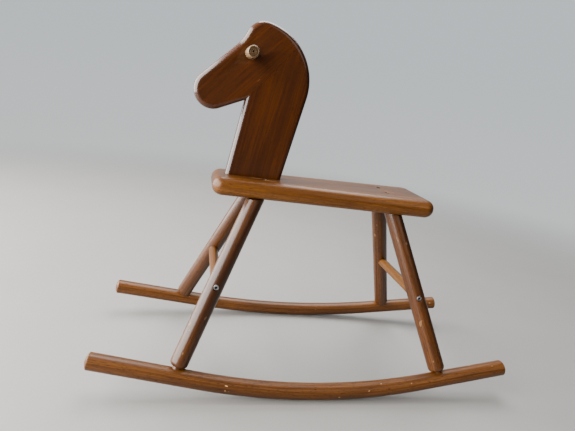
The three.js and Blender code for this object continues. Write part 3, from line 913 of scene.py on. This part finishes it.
@dataclass
class SideFrames:
    """The two rockers and the four legs that stand on them."""

    plan: Plan
    lathe: Lathe
    foot_tenon_stop: float = 4 * MM
    rocker_end_dome: float = 5 * MM
    arris: float = 0.9 * MM
    bolt_recess_radius: float = 5.5 * MM
    bolt_hole: float = 3.2 * MM

    def rocker(self, side: Side) -> bpy.types.Object:
        """Makes one rocker: a turned rod, bent by Geometry Nodes and leant with its legs.

        Args:
            side: which rocker.

        Returns:
            The rocker in place, with its grain stored along the bend.
        """
        plan = self.plan
        bent = plan.bend_radius * plan.end_slope
        half = bent + (plan.rocker_half - plan.bent_half) / math.cos(plan.end_slope)
        radius = plan.rocker_radius * 0.9995
        straight = half - self.rocker_end_dome - 2 * self.arris
        middle = np.linspace(-straight, straight, 130)
        rod = self.lathe.turn(
            f"{side.name.lower()}_rocker_rod",
            [
                *domed(radius, -half, self.rocker_end_dome, self.arris, -1),
                *((radius, along) for along in middle),
                *domed(radius, half, self.rocker_end_dome, self.arris, 1),
            ],
            48,
        )
        rod.data.transform(Matrix.Rotation(math.pi / 2, 4, "Y"))
        self.lathe.run(rod, self.lathe.bending, {"Bend Radius": plan.bend_radius, "Bent Length": bent})
        leant = Matrix.Translation((0, side.value * plan.half_track, plan.rocker_radius)) @ Matrix.Rotation(
            side.value * plan.lean, 4, "X"
        )
        rod.data.transform(leant)
        tidy_mesh(rod)
        carve(rod, [cutter for end in End for cutter in self._foot_cutters(end, side)])
        stamp_timber(rod, self._unbend(leant.inverted(), bent, side), self._floor_wear)
        return rod

    def _foot_cutters(self, end: End, side: Side) -> list[bpy.types.Object]:
        """The leg's socket and the screw's recess in a rocker."""
        foot, way = self.plan.foot(end, side), self.plan.leg_way(end, side)
        head = self.plan.rocker_screw_recess - self.plan.rocker_along
        socket_floor = self.foot_tenon_stop - CLEARANCE
        shank = [(self.plan.screw_hole, 0.0), (self.plan.recess_radius, socket_floor - 2 * MM - head)]
        socket = [(self.plan.tenon_radius, 0.0)]
        return [
            self.lathe.drill(foot + socket_floor * way, foot + 30 * MM * way, socket),
            self.lathe.drill(foot + (socket_floor - 2 * MM) * way, foot - 30 * MM * way, shank),
        ]

    def _unbend(self, upright: Matrix, bent: float, side: Side) -> Callable[[np.ndarray], np.ndarray]:
        """Maps points on a bent rocker back to its straight blank.

        Args:
            upright: the matrix that takes the rocker back to its own plane.
            bent: the bent length each way from the middle.
            side: which rocker.

        Returns:
            The map from points to places in the blank.
        """
        bend = self.plan.bend_radius
        turn = np.array(upright.to_3x3())
        shift = np.array(upright.translation)

        def place(points: np.ndarray) -> np.ndarray:
            """The places in the straight blank."""
            local = points @ turn.T + shift
            x, y, z = local.T
            angle = np.arctan2(x, bend - z)
            limit = bent / bend
            held = np.clip(angle, -limit, limit)
            foot_x, foot_z = bend * np.sin(held), bend * (1 - np.cos(held))
            beyond = (x - foot_x) * np.cos(held) + (z - foot_z) * np.sin(held)
            height = -(x - foot_x) * np.sin(held) + (z - foot_z) * np.cos(held)
            return np.stack([bend * held + beyond + side.value, y + 0.012, height + 0.03], axis=1)

        return place

    @staticmethod
    def _floor_wear(points: np.ndarray) -> np.ndarray:
        """Wear that fades from the floor line upwards."""
        return np.clip(1 - points[:, 2] / (5 * MM), 0, 1) * np.clip(1.5 - np.abs(points[:, 0]) / 0.2, 0, 1)

    def leg(self, end: End, side: Side) -> bpy.types.Object:
        """Makes one leg: a turned rod, sawn level under the seat, tenoned and drilled.

        Args:
            end: front or rear.
            side: left or right.

        Returns:
            The leg in place.
        """
        plan = self.plan
        foot, hip, way = plan.foot(end, side), plan.hip(end, side), plan.leg_way(end, side)
        length = (hip - foot).length
        bend = plan.leg_radius - plan.tenon_radius
        lean = plan.foot_lean
        rise = plan.rocker_radius + bend + CLEARANCE + plan.tenon_radius * math.sin(lean)
        bottom = rise / math.cos(lean) - bend
        top = length + bend
        neck = plan.tenon_radius - 0.05 * MM
        shaft = [(plan.leg_radius, bottom + (top - bottom) * share) for share in np.linspace(0.06, 0.94, 30)]
        rod = self.lathe.turn(
            f"{corner_name(end, side)}_leg_rod",
            [
                (0.0, self.foot_tenon_stop),
                (neck, self.foot_tenon_stop),
                *quarter_round(plan.leg_radius, bottom, bend, -1, 12),
                *shaft,
                *quarter_round(plan.leg_radius, top, bend, 1, 12),
                (0.0, top),
            ],
        )
        rod.data.transform(stand_at(foot, way))
        tenon = self.lathe.drill(hip - 15 * MM * way, hip + plan.seat_tenon * way, [(neck, 0.0)], 48)
        saw(rod, Vector((0, 0, plan.seat_under - CLEARANCE)), -Z_WAY)
        self._join_tenon(rod, tenon)
        middle = plan.middle(end, side)
        out = side.value * Y_WAY
        chord = plan.chord(end, side)
        start = middle - (chord - plan.stretcher_socket - 1 * MM) * out
        recess = 2 * chord - plan.stretcher_socket - plan.bolt_recess - MM
        bolt = [(self.bolt_hole, 0.0), (self.bolt_recess_radius, recess)]
        inner = middle - (chord - plan.stretcher_socket) * out
        carve(
            rod,
            [
                self.lathe.drill(start, middle + 40 * MM * out, bolt),
                self.lathe.drill(inner, middle - 40 * MM * out, [(plan.stretcher_radius + 0.05 * MM, 0.0)]),
            ],
        )
        index = 2 * (end.value > 0) + (side.value > 0)
        grain = Grain(foot, way, Vector((0.3 + index, 1, 0.2)), (0.7 * index, 0.014 + 0.006 * index, 0.02))
        stamp_timber(rod, grain.place)
        return rod

    @staticmethod
    def _join_tenon(rod: bpy.types.Object, tenon: bpy.types.Object) -> None:
        """Joins a leg's upper tenon, which starts inside the leg and is used up."""
        modifier = rod.modifiers.new("tenon", "BOOLEAN")
        modifier.operation = "UNION"
        modifier.solver = "EXACT"
        modifier.object = tenon
        bake_modifiers(rod)
        discard(tenon)
        tidy_mesh(rod)

    def build(self, leg_material: bpy.types.Material, rocker_material: bpy.types.Material) -> None:
        """Makes, dresses and fits the rockers and the legs.

        Args:
            leg_material: the legs' finish.
            rocker_material: the rockers' finish.
        """
        for side in Side:
            fit(self.rocker(side), rocker_material, [f"{side.name.lower()}_rocker"])
            for end in End:
                node = f"{corner_name(end, side)}_leg"
                fit(self.leg(end, side), leg_material, [node])


@dataclass
class Stretchers:
    """The two cross rods that tie the left and right legs."""

    plan: Plan
    lathe: Lathe
    end_round: float = 1 * MM

    def build(self, material: bpy.types.Material) -> None:
        """Makes, dresses and fits both stretchers.

        Args:
            material: their finish.
        """
        plan = self.plan
        for end in End:
            middle = plan.middle(end, Side.RIGHT)
            half = middle.y - plan.chord(end, Side.RIGHT) + plan.stretcher_socket - CLEARANCE
            radius = plan.stretcher_radius
            rod = self.lathe.turn(
                f"{end.name.lower()}_stretcher_rod",
                [
                    (0.0, -half),
                    *quarter_round(radius, -half, self.end_round, -1, 4),
                    *((radius, half * share) for share in np.linspace(-0.9, 0.9, 24)),
                    *quarter_round(radius, half, self.end_round, 1, 4),
                    (0.0, half),
                ],
                48,
            )
            centre = Vector((middle.x, 0, middle.z))
            rod.data.transform(stand_at(centre, Y_WAY))
            tidy_mesh(rod)
            grain = Grain(centre, Y_WAY, X_WAY + end.value * Z_WAY, (2.0 + end.value, 0.02, 0.015))
            stamp_timber(rod, grain.place)
            fit(rod, material, [f"{end.name.lower()}_stretcher"])


def inset(outline: Sequence[Vector], distance: float) -> list[Vector]:
    """Moves a closed counter-clockwise outline inwards, with mitred corners.

    Args:
        outline: its 2-D points.
        distance: how far each side moves.

    Returns:
        The moved points.
    """
    moved = []
    for i, point in enumerate(outline):
        before = (point - outline[i - 1]).normalized()
        after = (outline[(i + 1) % len(outline)] - point).normalized()
        first, second = Vector((-before.y, before.x)), Vector((-after.y, after.x))
        moved.append(point + (first + second) * (distance / (1 + first.dot(second))))
    return moved


def round_edged_board(
    name: str, outline: Sequence[Vector], thickness: float, bend: float
) -> bpy.types.Object:
    """A board from z = 0 up with a quarter round on every edge.

    Args:
        name: the object's name.
        outline: its 2-D outline, counter-clockwise.
        thickness: the board's thickness.
        bend: the edges' radius.

    Returns:
        The board as a closed mesh.
    """
    steps = 10
    angles = [math.pi / 2 * i / steps for i in range(steps + 1)]
    lower = [(bend * (1 - math.sin(a)), bend * (1 - math.cos(a))) for a in angles]
    flat = [(bend + 1.5 * MM, 0.0), *lower]
    levels = flat + [(deep, thickness - height) for deep, height in reversed(flat)]
    points: list[Vector] = []
    for deep, height in levels:
        points += [Vector((p.x, p.y, height)) for p in inset(outline, deep)]
    count = len(outline)
    faces = [tuple(reversed(range(count))), tuple(range(len(points) - count, len(points)))]
    for level in range(len(levels) - 1):
        low, high = level * count, (level + 1) * count
        faces += [(low + i, low + (i + 1) % count, high + (i + 1) % count, high + i) for i in range(count)]
    board = plain_mesh(name, points, faces=faces)
    tidy_mesh(board)
    return board


def arc(centre: Vector, radius: float, start: float, end: float, spacing: float = 2.5 * MM) -> list[Vector]:
    """Points along an arc from one angle to another, about a spacing apart."""
    steps = max(6, round(abs(end - start) * radius / spacing))
    angles = [start + (end - start) * i / steps for i in range(steps + 1)]
    return [centre + radius * Vector((math.cos(a), math.sin(a))) for a in angles]


@dataclass
class Seat:
    """The tapered seat board."""

    plan: Plan
    lathe: Lathe
    length: float = 430 * MM
    shift: float = -4 * MM
    front_half: float = 52 * MM
    rear_half: float = 72.5 * MM
    corner: float = 20 * MM
    edge_round: float = 16 * MM
    neck_recess_radius: float = 5.1 * MM
    neck_screw_hole: float = 2.8 * MM

    def outline(self) -> list[Vector]:
        """The seat's plan outline, counter-clockwise, with its corners rounded."""
        front, rear = self.shift - self.length / 2, self.shift + self.length / 2
        corners = [
            Vector((front, -self.front_half)),
            Vector((rear, -self.rear_half)),
            Vector((rear, self.rear_half)),
            Vector((front, self.front_half)),
        ]
        points: list[Vector] = []
        for i, corner in enumerate(corners):
            back = (corners[i - 1] - corner).normalized()
            ahead = (corners[(i + 1) % 4] - corner).normalized()
            half = back.angle(ahead) / 2
            centre = corner + (back + ahead).normalized() * (self.corner / math.sin(half))
            first = corner + back * (self.corner / math.tan(half)) - centre
            start = math.atan2(first.y, first.x)
            points += arc(centre, self.corner, start, start + math.pi - 2 * half, 2 * MM)
        return points

    def build(self, material: bpy.types.Material, neck_screws: Sequence[float]) -> None:
        """Makes, dresses and fits the seat.

        Args:
            material: its finish.
            neck_screws: the X places of the two screws up into the neck.
        """
        plan = self.plan
        outline = self._with_long_sides(self.outline())
        board = round_edged_board("seat_slab", outline, plan.seat_top - plan.seat_under, self.edge_round)
        board.data.transform(Matrix.Translation((0, 0, plan.seat_under)))
        cutters = []
        for end in End:
            for side in Side:
                hip, way = plan.hip(end, side), plan.leg_way(end, side)
                head = plan.seat_along(end, side) - plan.seat_screw_recess
                floor = plan.seat_tenon + CLEARANCE
                shank = [(self.plan.screw_hole, 0.0), (self.plan.recess_radius, head - floor - 1 * MM)]
                top = hip + (plan.seat_along(end, side) + 10 * MM) * way
                cutters.append(self.lathe.drill(hip + (floor + MM) * way, top, shank))
                socket = [(plan.tenon_radius, 0.0)]
                cutters.append(self.lathe.drill(hip + floor * way, hip - 20 * MM * way, socket))
        for x in neck_screws:
            low = Vector((x, 0, plan.seat_under - 10 * MM))
            high = Vector((x, 0, plan.seat_under + 20 * MM))
            steps = [(self.neck_screw_hole, 0.0), (self.neck_recess_radius, 10 * MM)]
            cutters.append(self.lathe.drill(high, low, steps))
        carve(board, cutters)
        grain = Grain(Vector((0, 0, plan.seat_under)), X_WAY, Z_WAY, (5.0, 0.018, 0.055))
        stamp_timber(board, grain.place)
        fit(board, material, ["seat_board"])

    @staticmethod
    def _with_long_sides(outline: Sequence[Vector], spacing: float = 12 * MM) -> list[Vector]:
        """Adds points along an outline's long straight sides."""
        points: list[Vector] = []
        for i, point in enumerate(outline):
            ahead = outline[(i + 1) % len(outline)]
            steps = max(1, round((ahead - point).length / spacing))
            points += [point.lerp(ahead, step / steps) for step in range(steps)]
        return points


@dataclass
class HeadAndNeck:
    """The flat profile board, cut into head and neck along its glue seam."""

    plan: Plan
    lathe: Lathe
    thickness: float = 28 * MM
    edge_round: float = 9 * MM
    base_front: float = -196.5 * MM
    neck_lean: float = math.radians(10)
    throat: Vector = field(default_factory=lambda: Vector((-176.3, 135.8)) * MM)
    nose: Vector = field(default_factory=lambda: Vector((-233.5, 145.5)) * MM)
    nose_radius: float = 33.2 * MM
    mane: Vector = field(default_factory=lambda: Vector((-164, 171)) * MM)
    mane_radius: float = 101.5 * MM
    crown_radius: float = 34 * MM
    crown_turn: float = math.radians(81)
    forehead_slope: float = math.radians(45.4)
    hollow_radius: float = 80 * MM
    seam_slope: float = math.radians(51.3)
    handle_hole: float = 10.05 * MM

    def base_back(self) -> float:
        """Where the back of the neck meets the seat."""
        touch = self.mane + self.mane_radius * Vector((math.cos(self.neck_lean), -math.sin(self.neck_lean)))
        return touch.x - touch.y * math.tan(self.neck_lean)

    def screw_places(self) -> list[float]:
        """The X places of the two screws up into the neck."""
        return [self.base_front + share * (self.base_back() - self.base_front) for share in (0.3, 0.7)]

    def outline(self) -> list[Vector]:
        """The profile in X and rise above the seat, counter-clockwise: rounds on common tangents."""
        skirt = 30 * MM
        slope = self.forehead_slope
        way = Vector((math.cos(self.crown_turn), math.sin(self.crown_turn)))
        crown = self.mane + (self.mane_radius - self.crown_radius) * way
        along = Vector((math.cos(slope), math.sin(slope)))
        out = Vector((-along.y, along.x))
        to_crown = crown - self.nose
        hollow_out = self.nose_radius + self.hollow_radius
        reach = self.crown_radius + self.hollow_radius
        spread = math.sqrt(reach**2 - (hollow_out - to_crown.dot(out)) ** 2)
        hollow = self.nose + hollow_out * out + (to_crown.dot(along) - spread) * along
        meet = math.atan2((crown - hollow).y, (crown - hollow).x)
        to_nose = self.nose - self.throat
        jaw = math.atan2(to_nose.y, to_nose.x) + math.asin(self.nose_radius / to_nose.length)
        front_slope = (self.throat.x - self.base_front) / self.throat.y
        start = Vector((self.base_front - skirt * front_slope, -skirt))
        return [
            start,
            Vector((self.base_back() - skirt * math.tan(self.neck_lean), -skirt)),
            *arc(self.mane, self.mane_radius, -self.neck_lean, self.crown_turn),
            *arc(crown, self.crown_radius, self.crown_turn, meet + math.pi)[1:],
            *arc(hollow, self.hollow_radius, meet, slope - math.pi / 2)[1:],
            *arc(self.nose, self.nose_radius, slope + math.pi / 2, jaw + math.pi / 2),
            self.throat,
        ]

    def profile_board(self, name: str) -> bpy.types.Object:
        """The whole profile as one standing board, before it is cut."""
        board = round_edged_board(name, self.outline(), self.thickness, self.edge_round)
        board.data.transform(Matrix.Rotation(math.pi / 2, 4, "X"))
        board.data.transform(Matrix.Translation((0, self.thickness / 2, self.plan.seat_top)))
        return board

    def build(self, material: bpy.types.Material, handle_centre: Vector) -> None:
        """Makes, dresses and fits the head and the neck.

        Args:
            material: their finish.
            handle_centre: the middle of the handle bar.
        """
        into_head = Vector((-math.sin(self.seam_slope), 0, math.cos(self.seam_slope)))
        throat = Vector((self.throat.x, 0, self.plan.seat_top + self.throat.y))

        head = self.profile_board("head_profile")
        saw(head, throat + into_head * (self.plan.gap / 2), into_head)
        far = self.thickness * Y_WAY
        hole = self.lathe.drill(handle_centre - far, handle_centre + far, [(self.handle_hole, 0.0)])
        carve(head, [hole], 0.6 * MM)
        muzzle = Vector((math.cos(self.seam_slope - 0.06), 0, math.sin(self.seam_slope - 0.06)))
        stamp_timber(head, Grain(throat, muzzle, Y_WAY, (8.0, 0.05, 0.045)).place)
        fit(head, material, ["head_board"])

        neck = self.profile_board("neck_profile")
        saw(neck, throat - into_head * (self.plan.gap / 2), -into_head)
        saw(neck, Vector((0, 0, self.plan.seat_top + self.plan.gap)), Z_WAY)
        upward = Vector((math.sin(self.neck_lean * 0.9), 0, math.cos(self.neck_lean * 0.9)))
        stamp_timber(neck, Grain(throat, upward, Y_WAY, (11.0, -0.03, 0.06)).place)
        fit(neck, material, ["neck_board"])


@dataclass
class Handle:
    """The round bar through the head."""

    lathe: Lathe
    radius: float = 10 * MM
    end_round: float = 2.5 * MM
    hole_radius: float = 1.3 * MM
    hole_depth: float = 3 * MM

    def centre(self) -> Vector:
        """The middle of the bar, from its CAD node."""
        low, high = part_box("handle_bar")
        return (low + high) / 2

    def end_face(self, half: float) -> list[Pair]:
        """One turned end: the rim's round, a fine groove, a shallow dome and the lathe centre."""
        flat = self.radius - self.end_round
        return [
            *quarter_round(self.radius, half, self.end_round, 1),
            (flat * 0.97, half - 0.1 * MM),
            (flat * 0.93, half - 0.7 * MM),
            (flat * 0.84, half - 0.7 * MM),
            (flat * 0.80, half - 0.15 * MM),
            (flat * 0.52, half - 0.1 * MM),
            (flat * 0.48, half - 0.5 * MM),
            (flat * 0.42, half - 0.5 * MM),
            (flat * 0.38, half - 0.1 * MM),
            (self.hole_radius * 1.4, half - 0.2 * MM),
            (self.hole_radius * 1.1, half - 0.6 * MM),
            (self.hole_radius, half - self.hole_depth),
            (0.0, half - self.hole_depth - 0.5 * MM),
        ]

    def build(self, material: bpy.types.Material) -> None:
        """Makes, dresses and fits the bar.

        Args:
            material: its finish.
        """
        low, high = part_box("handle_bar")
        half = (high.y - low.y) / 2
        top = self.end_face(half)
        bottom = [(radius, -along) for radius, along in reversed(top)]
        shaft = [(self.radius, half * share) for share in np.linspace(-0.85, 0.85, 16)]
        bar = self.lathe.turn("handle_rod", [*bottom, *shaft, *top], 48)
        bar.data.transform(stand_at(self.centre(), Y_WAY))
        tidy_mesh(bar, 50)
        centre = self.centre()

        def grime(points: np.ndarray) -> np.ndarray:
            """Painted shade in the end faces' grooves and lathe centres, full from 0.6 mm deep."""
            sunk = half - np.abs(points[:, 1] - centre.y)
            inside = np.hypot(points[:, 0] - centre.x, points[:, 2] - centre.z) < self.radius - self.end_round
            return np.where(inside, np.clip(sunk / (0.6 * MM), 0, 1), 0)

        stamp_timber(bar, Grain(centre, Y_WAY, Z_WAY, (14.0, 0.0015, 0.001)).place, grime=grime)
        fit(bar, material, ["handle_bar"])


@dataclass(frozen=True)
class ScrewKind:
    """One kind of screw or bolt, and the CAD nodes that it stands for."""

    name: str
    nodes: tuple[str, ...]
    shank: float
    head: float
    head_height: float
    length: float
    pointed: bool


@dataclass
class Fasteners:
    """Every screw and bolt: one turned body for each kind, set on points by Geometry Nodes."""

    plan: Plan
    lathe: Lathe
    pitch: float = 0.45  # in shank radii
    root: float = 0.8  # in shank radii
    plain: float = 0.35  # the share of the shank with no thread
    crown_round: float = 0.5 * MM
    socket: float = 0.6  # in head radii

    def _scatter_tree(self) -> bpy.types.NodeTree:
        """Sets a part on each point of the input, along the point's "aim" attribute."""
        inputs = {"Part": "NodeSocketObject", "Material": "NodeSocketMaterial"}
        tree, points = Lathe._group("set_fasteners", inputs)
        part = tree.node("GeometryNodeObjectInfo", {}, {"Object": points.part("Part")}, "Geometry")
        aim = tree.node("GeometryNodeInputNamedAttribute", {"data_type": "FLOAT_VECTOR"}, {"Name": "aim"})
        turn = tree.node("FunctionNodeAlignRotationToVector", {"axis": "Z"}, {"Vector": aim})
        placed = {"Points": points, "Instance": part, "Rotation": turn}
        shape = tree.node("GeometryNodeInstanceOnPoints", {}, placed)
        return Lathe._close(tree, shape, points.part("Material"))

    def body(self, kind: ScrewKind) -> bpy.types.Object:
        """Turns one fastener, from its tip at -length to its head's top, sinks its six-sided socket and marks
        painted shade on the socket's walls and floor.
        """
        shank, low = kind.shank, -kind.length
        tip = [(0.0, low), (shank, low + 3 * shank)]
        if not kind.pointed:
            tip = [(0.0, low), (shank - 0.3 * MM, low), (shank, 0.5 * MM + low)]
        threads = []
        pitch = shank * self.pitch
        along = tip[-1][1] + pitch
        while along < low * self.plain:
            threads += [(shank, along), (shank * self.root, along + pitch * 0.5)]
            along += pitch
        crown = kind.head_height
        profile = [*tip, *threads, (shank, along + pitch), (shank, 0.0), (kind.head - 0.2 * MM, 0.0)]
        profile += [(kind.head, 0.2 * MM), (kind.head, crown - self.crown_round)]
        profile += quarter_round(kind.head, crown, self.crown_round, 1, 3)[1:] + [(0.0, crown)]
        body = self.lathe.turn(f"{kind.name}_body", profile, 24)
        tidy_mesh(body, 30)
        wall = kind.head * self.socket
        start, end = Vector((0, 0, crown * 0.15)), Vector((0, 0, crown + MM))
        carve(body, [self.lathe.drill(start, end, [(wall, 0.0)], 6)], 0)
        # Painted shade: the socket's walls and floor are marked for the finish to darken, as shade deep in
        # the socket.
        inside = (math.hypot(v.co.x, v.co.y) < wall * 1.02 for v in body.data.vertices)
        sunk = (crown * 0.1 < v.co.z < crown - 0.1 * MM for v in body.data.vertices)
        grime = [float(within and deep) for within, deep in zip(inside, sunk)]
        body.data.attributes.new("grime", "FLOAT", "POINT").data.foreach_set("value", grime)
        return body

    def place(
        self, kind: ScrewKind, spots: Sequence[tuple[Vector, Vector]], material: bpy.types.Material
    ) -> None:
        """Sets one kind of fastener on its spots and fits the result.

        Args:
            kind: the fastener.
            spots: (place under the head, direction from tip to head) for each.
            material: its finish.
        """
        body = self.body(kind)
        points = plain_mesh(kind.name, [spot for spot, _ in spots])
        aims = points.data.attributes.new("aim", "FLOAT_VECTOR", "POINT")
        aims.data.foreach_set("vector", [value for _, aim in spots for value in aim])
        self.lathe.run(points, self._scatter_tree(), {"Part": body, "Material": material})
        discard(body)
        tidy_mesh(points, 30)
        fit(points, material, kind.nodes)

    def build(self, material: bpy.types.Material, neck_screws: Sequence[float]) -> None:
        """Makes, dresses and fits all four kinds.

        Args:
            material: their finish.
            neck_screws: the X places of the two screws up into the neck.
        """
        plan = self.plan
        corners = [(end, side) for end in End for side in Side]
        names = [corner_name(end, side) for end, side in corners]
        seat, rocker, bolts = [], [], []
        for end, side in corners:
            foot, hip, way = plan.foot(end, side), plan.hip(end, side), plan.leg_way(end, side)
            seat.append((hip + (plan.seat_along(end, side) - plan.seat_screw_recess + CLEARANCE) * way, way))
            rocker.append((foot + (plan.rocker_screw_recess - plan.rocker_along - CLEARANCE) * way, -way))
            out = side.value * Y_WAY
            deep = plan.chord(end, side) - plan.bolt_recess + CLEARANCE
            bolts.append((plan.middle(end, side) + deep * out, out))
        head = plan.seat_under + plan.neck_screw_recess - CLEARANCE
        neck = [(Vector((x, 0, head)), -Z_WAY) for x in neck_screws]

        def kind(name: str, node: str, *sizes: float, pointed: bool = True) -> ScrewKind:
            """A kind whose nodes are one for each leg."""
            nodes = tuple(f"{corner}_{node}" for corner in names)
            return ScrewKind(name, nodes, *(size * MM for size in sizes), pointed)

        self.place(kind("seat_screws", "seat_screw", 2, 3.7, 2.6, 42), seat, material)
        self.place(kind("rocker_screws", "rocker_screw", 2, 3.7, 2.6, 40), rocker, material)
        bolt = kind("stretcher_bolts", "stretcher_bolt", 2.9, 4.9, 5.5, 33, pointed=False)
        self.place(bolt, bolts, material)
        nodes = ("front_neck_screw", "rear_neck_screw")
        neck_screw = ScrewKind("neck_screws", nodes, 2.5 * MM, 4.5 * MM, 3.2 * MM, 68 * MM, True)
        self.place(neck_screw, neck, material)


@dataclass
class HiddenPieces:
    """The CAD nodes inside the wood, which keep their shape and take a proper finish."""

    def build(self, dowels: bpy.types.Material, inserts: bpy.types.Material) -> None:
        """Dresses the seam dowels and the threaded inserts.

        Args:
            dowels: the dowels' finish.
            inserts: the inserts' finish.
        """
        for name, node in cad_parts.items():
            if name.endswith("_dowel") or name.endswith("_insert"):
                material = dowels if name.endswith("_dowel") else inserts
                node.data.materials.clear()
                node.data.materials.append(material)
                log.info("%s: dressed in %s", name, material.name)


@dataclass(frozen=True)
class SoftLight:
    """One oblong light: where it hangs, the point it faces, its width and height, its watts and its tint."""

    name: str
    place: tuple[float, float, float]
    aim: tuple[float, float, float]
    size: Pair
    power: float
    tint: Colour

    def hang(self) -> None:
        """Adds the light to the scene."""
        lamp = bpy.data.lights.new(self.name, "AREA")
        lamp.shape = "RECTANGLE"
        lamp.energy = self.power
        lamp.color = self.tint
        lamp.size, lamp.size_y = self.size
        holder = bpy.data.objects.new(self.name, lamp)
        bpy.context.scene.collection.objects.link(holder)
        holder.location = self.place
        holder.rotation_mode = "QUATERNION"
        holder.rotation_quaternion = (Vector(self.aim) - Vector(self.place)).to_track_quat("-Z", "Y")


@dataclass
class Studio:
    """The pale floor, the soft lights and the camera."""

    stand: tuple[float, float, float] = (-0.2545, -0.8133, 0.5292)
    turn: tuple[float, float, float] = (74.569, -8.526, -10.804)
    lens: float = 27.37
    bright_way: tuple[float, float, float] = (-0.55, 0.8, 0.1)
    bright: Colour = (0.63, 0.70, 0.75)
    below: Colour = (0.78, 0.78, 0.77)
    dim: Colour = (0.06, 0.06, 0.063)
    backdrop: Colour = (0.66, 0.71, 0.74)
    floor_half: float = 12.0
    floor_tones: tuple[Colour, Colour] = ((0.195, 0.186, 0.175), (0.215, 0.206, 0.194))
    floor_fade: Pair = (0.9, 2.8)
    sensor: float = 36.0
    clip: Pair = (0.02, 100.0)
    lights: tuple[SoftLight, ...] = (
        SoftLight("window", (-1.8, -0.35, 1.0), (0, -0.35, 0.6), (3.8, 2.1), 430, (1.0, 0.985, 0.96)),
        SoftLight("overhead", (0.2, 0.8, 2.2), (0, 0, 0.3), (1.6, 1.6), 90, (1.0, 1.0, 1.0)),
        SoftLight("fill", (1.2, -2.2, 1.8), (0, 0, 0.3), (1.4, 1.4), 12, (1.0, 0.98, 0.95)),
    )

    def floor(self) -> None:
        """Lays a wide pale floor, faintly mottled, that fades into the far light."""
        half = self.floor_half
        corners = [(-half, -half, 0), (half, -half, 0), (half, half, 0), (-half, half, 0)]
        floor = plain_mesh("studio_floor", corners, faces=[(0, 1, 2, 3)])
        material = bpy.data.materials.new("pale_floor")
        material.use_nodes = True
        tree = Tree(material.node_tree)
        place = tree.node("ShaderNodeTexCoord", out="Object")
        colour = tree.mix(tree.noise(place, 6, 3), *self.floor_tones)
        surface = tree.node("ShaderNodeBsdfPrincipled", {}, {"Base Color": colour, "Roughness": 0.6})
        away = tree.node("ShaderNodeVectorMath", {"operation": "LENGTH"}, {0: place}, "Value")
        far = away.step(*self.floor_fade)
        clear = tree.node("ShaderNodeBsdfTransparent")
        surface = tree.node("ShaderNodeMixShader", {}, {0: far, 1: surface, 2: clear})
        tree.node("ShaderNodeOutputMaterial", {}, {"Surface": surface})
        floor.data.materials.append(material)

    def world(self) -> None:
        """Surrounds the scene with a pale backdrop, and with light that is bright behind and dim in front."""
        world = bpy.data.worlds.new("studio")
        bpy.context.scene.world = world
        world.use_nodes = True
        tree = Tree(world.node_tree)
        way = tree.node("ShaderNodeTexCoord", out="Generated")
        bright_way = tuple(Vector(self.bright_way).normalized())
        settings = {"operation": "DOT_PRODUCT"}
        facing = tree.node("ShaderNodeVectorMath", settings, {0: way, 1: bright_way}, "Value")
        light = tree.mix(facing.step(-0.5, 0.75), self.dim, self.bright)
        height = tree.node("ShaderNodeSeparateXYZ", {}, {"Vector": way}, "Z")
        backdrop = tree.mix(height.step(-0.4, 0.15), self.below, self.backdrop)
        seen = tree.node("ShaderNodeLightPath", out="Is Camera Ray")
        colour = tree.mix(seen, light, backdrop)
        sky = tree.node("ShaderNodeBackground", {}, {"Color": colour})
        tree.node("ShaderNodeOutputWorld", {}, {"Surface": sky})

    def build(self) -> None:
        """Sets up the floor, the world, the lights and the camera."""
        self.floor()
        self.world()
        for light in self.lights:
            light.hang()
        camera = bpy.data.cameras.new("camera")
        camera.lens = self.lens
        camera.sensor_width = self.sensor
        camera.clip_start, camera.clip_end = self.clip
        holder = bpy.data.objects.new("camera", camera)
        bpy.context.scene.collection.objects.link(holder)
        holder.location = self.stand
        holder.rotation_euler = [math.radians(angle) for angle in self.turn]
        bpy.context.scene.camera = holder


def main() -> None:
    """Builds the studio and every sub-assembly, in order."""
    logging.basicConfig(level=logging.INFO, format="%(name)s: %(message)s")
    plan, lathe = Plan(), Lathe()
    Studio().build()
    zinc = ZINC_FINISH.material()
    head_and_neck = HeadAndNeck(plan, lathe)
    handle = Handle(lathe)
    SideFrames(plan, lathe).build(LEG_FINISH.material(), ROCKER_FINISH.material())
    Stretchers(plan, lathe).build(STRETCHER_FINISH.material())
    Seat(plan, lathe).build(SEAT_FINISH.material(), head_and_neck.screw_places())
    head_and_neck.build(BOARD_FINISH.material(), handle.centre())
    handle.build(HANDLE_FINISH.material())
    Fasteners(plan, lathe).build(zinc, head_and_neck.screw_places())
    HiddenPieces().build(DOWEL_FINISH.material(), BRASS_FINISH.material())


if __name__ == "__main__":
    main()
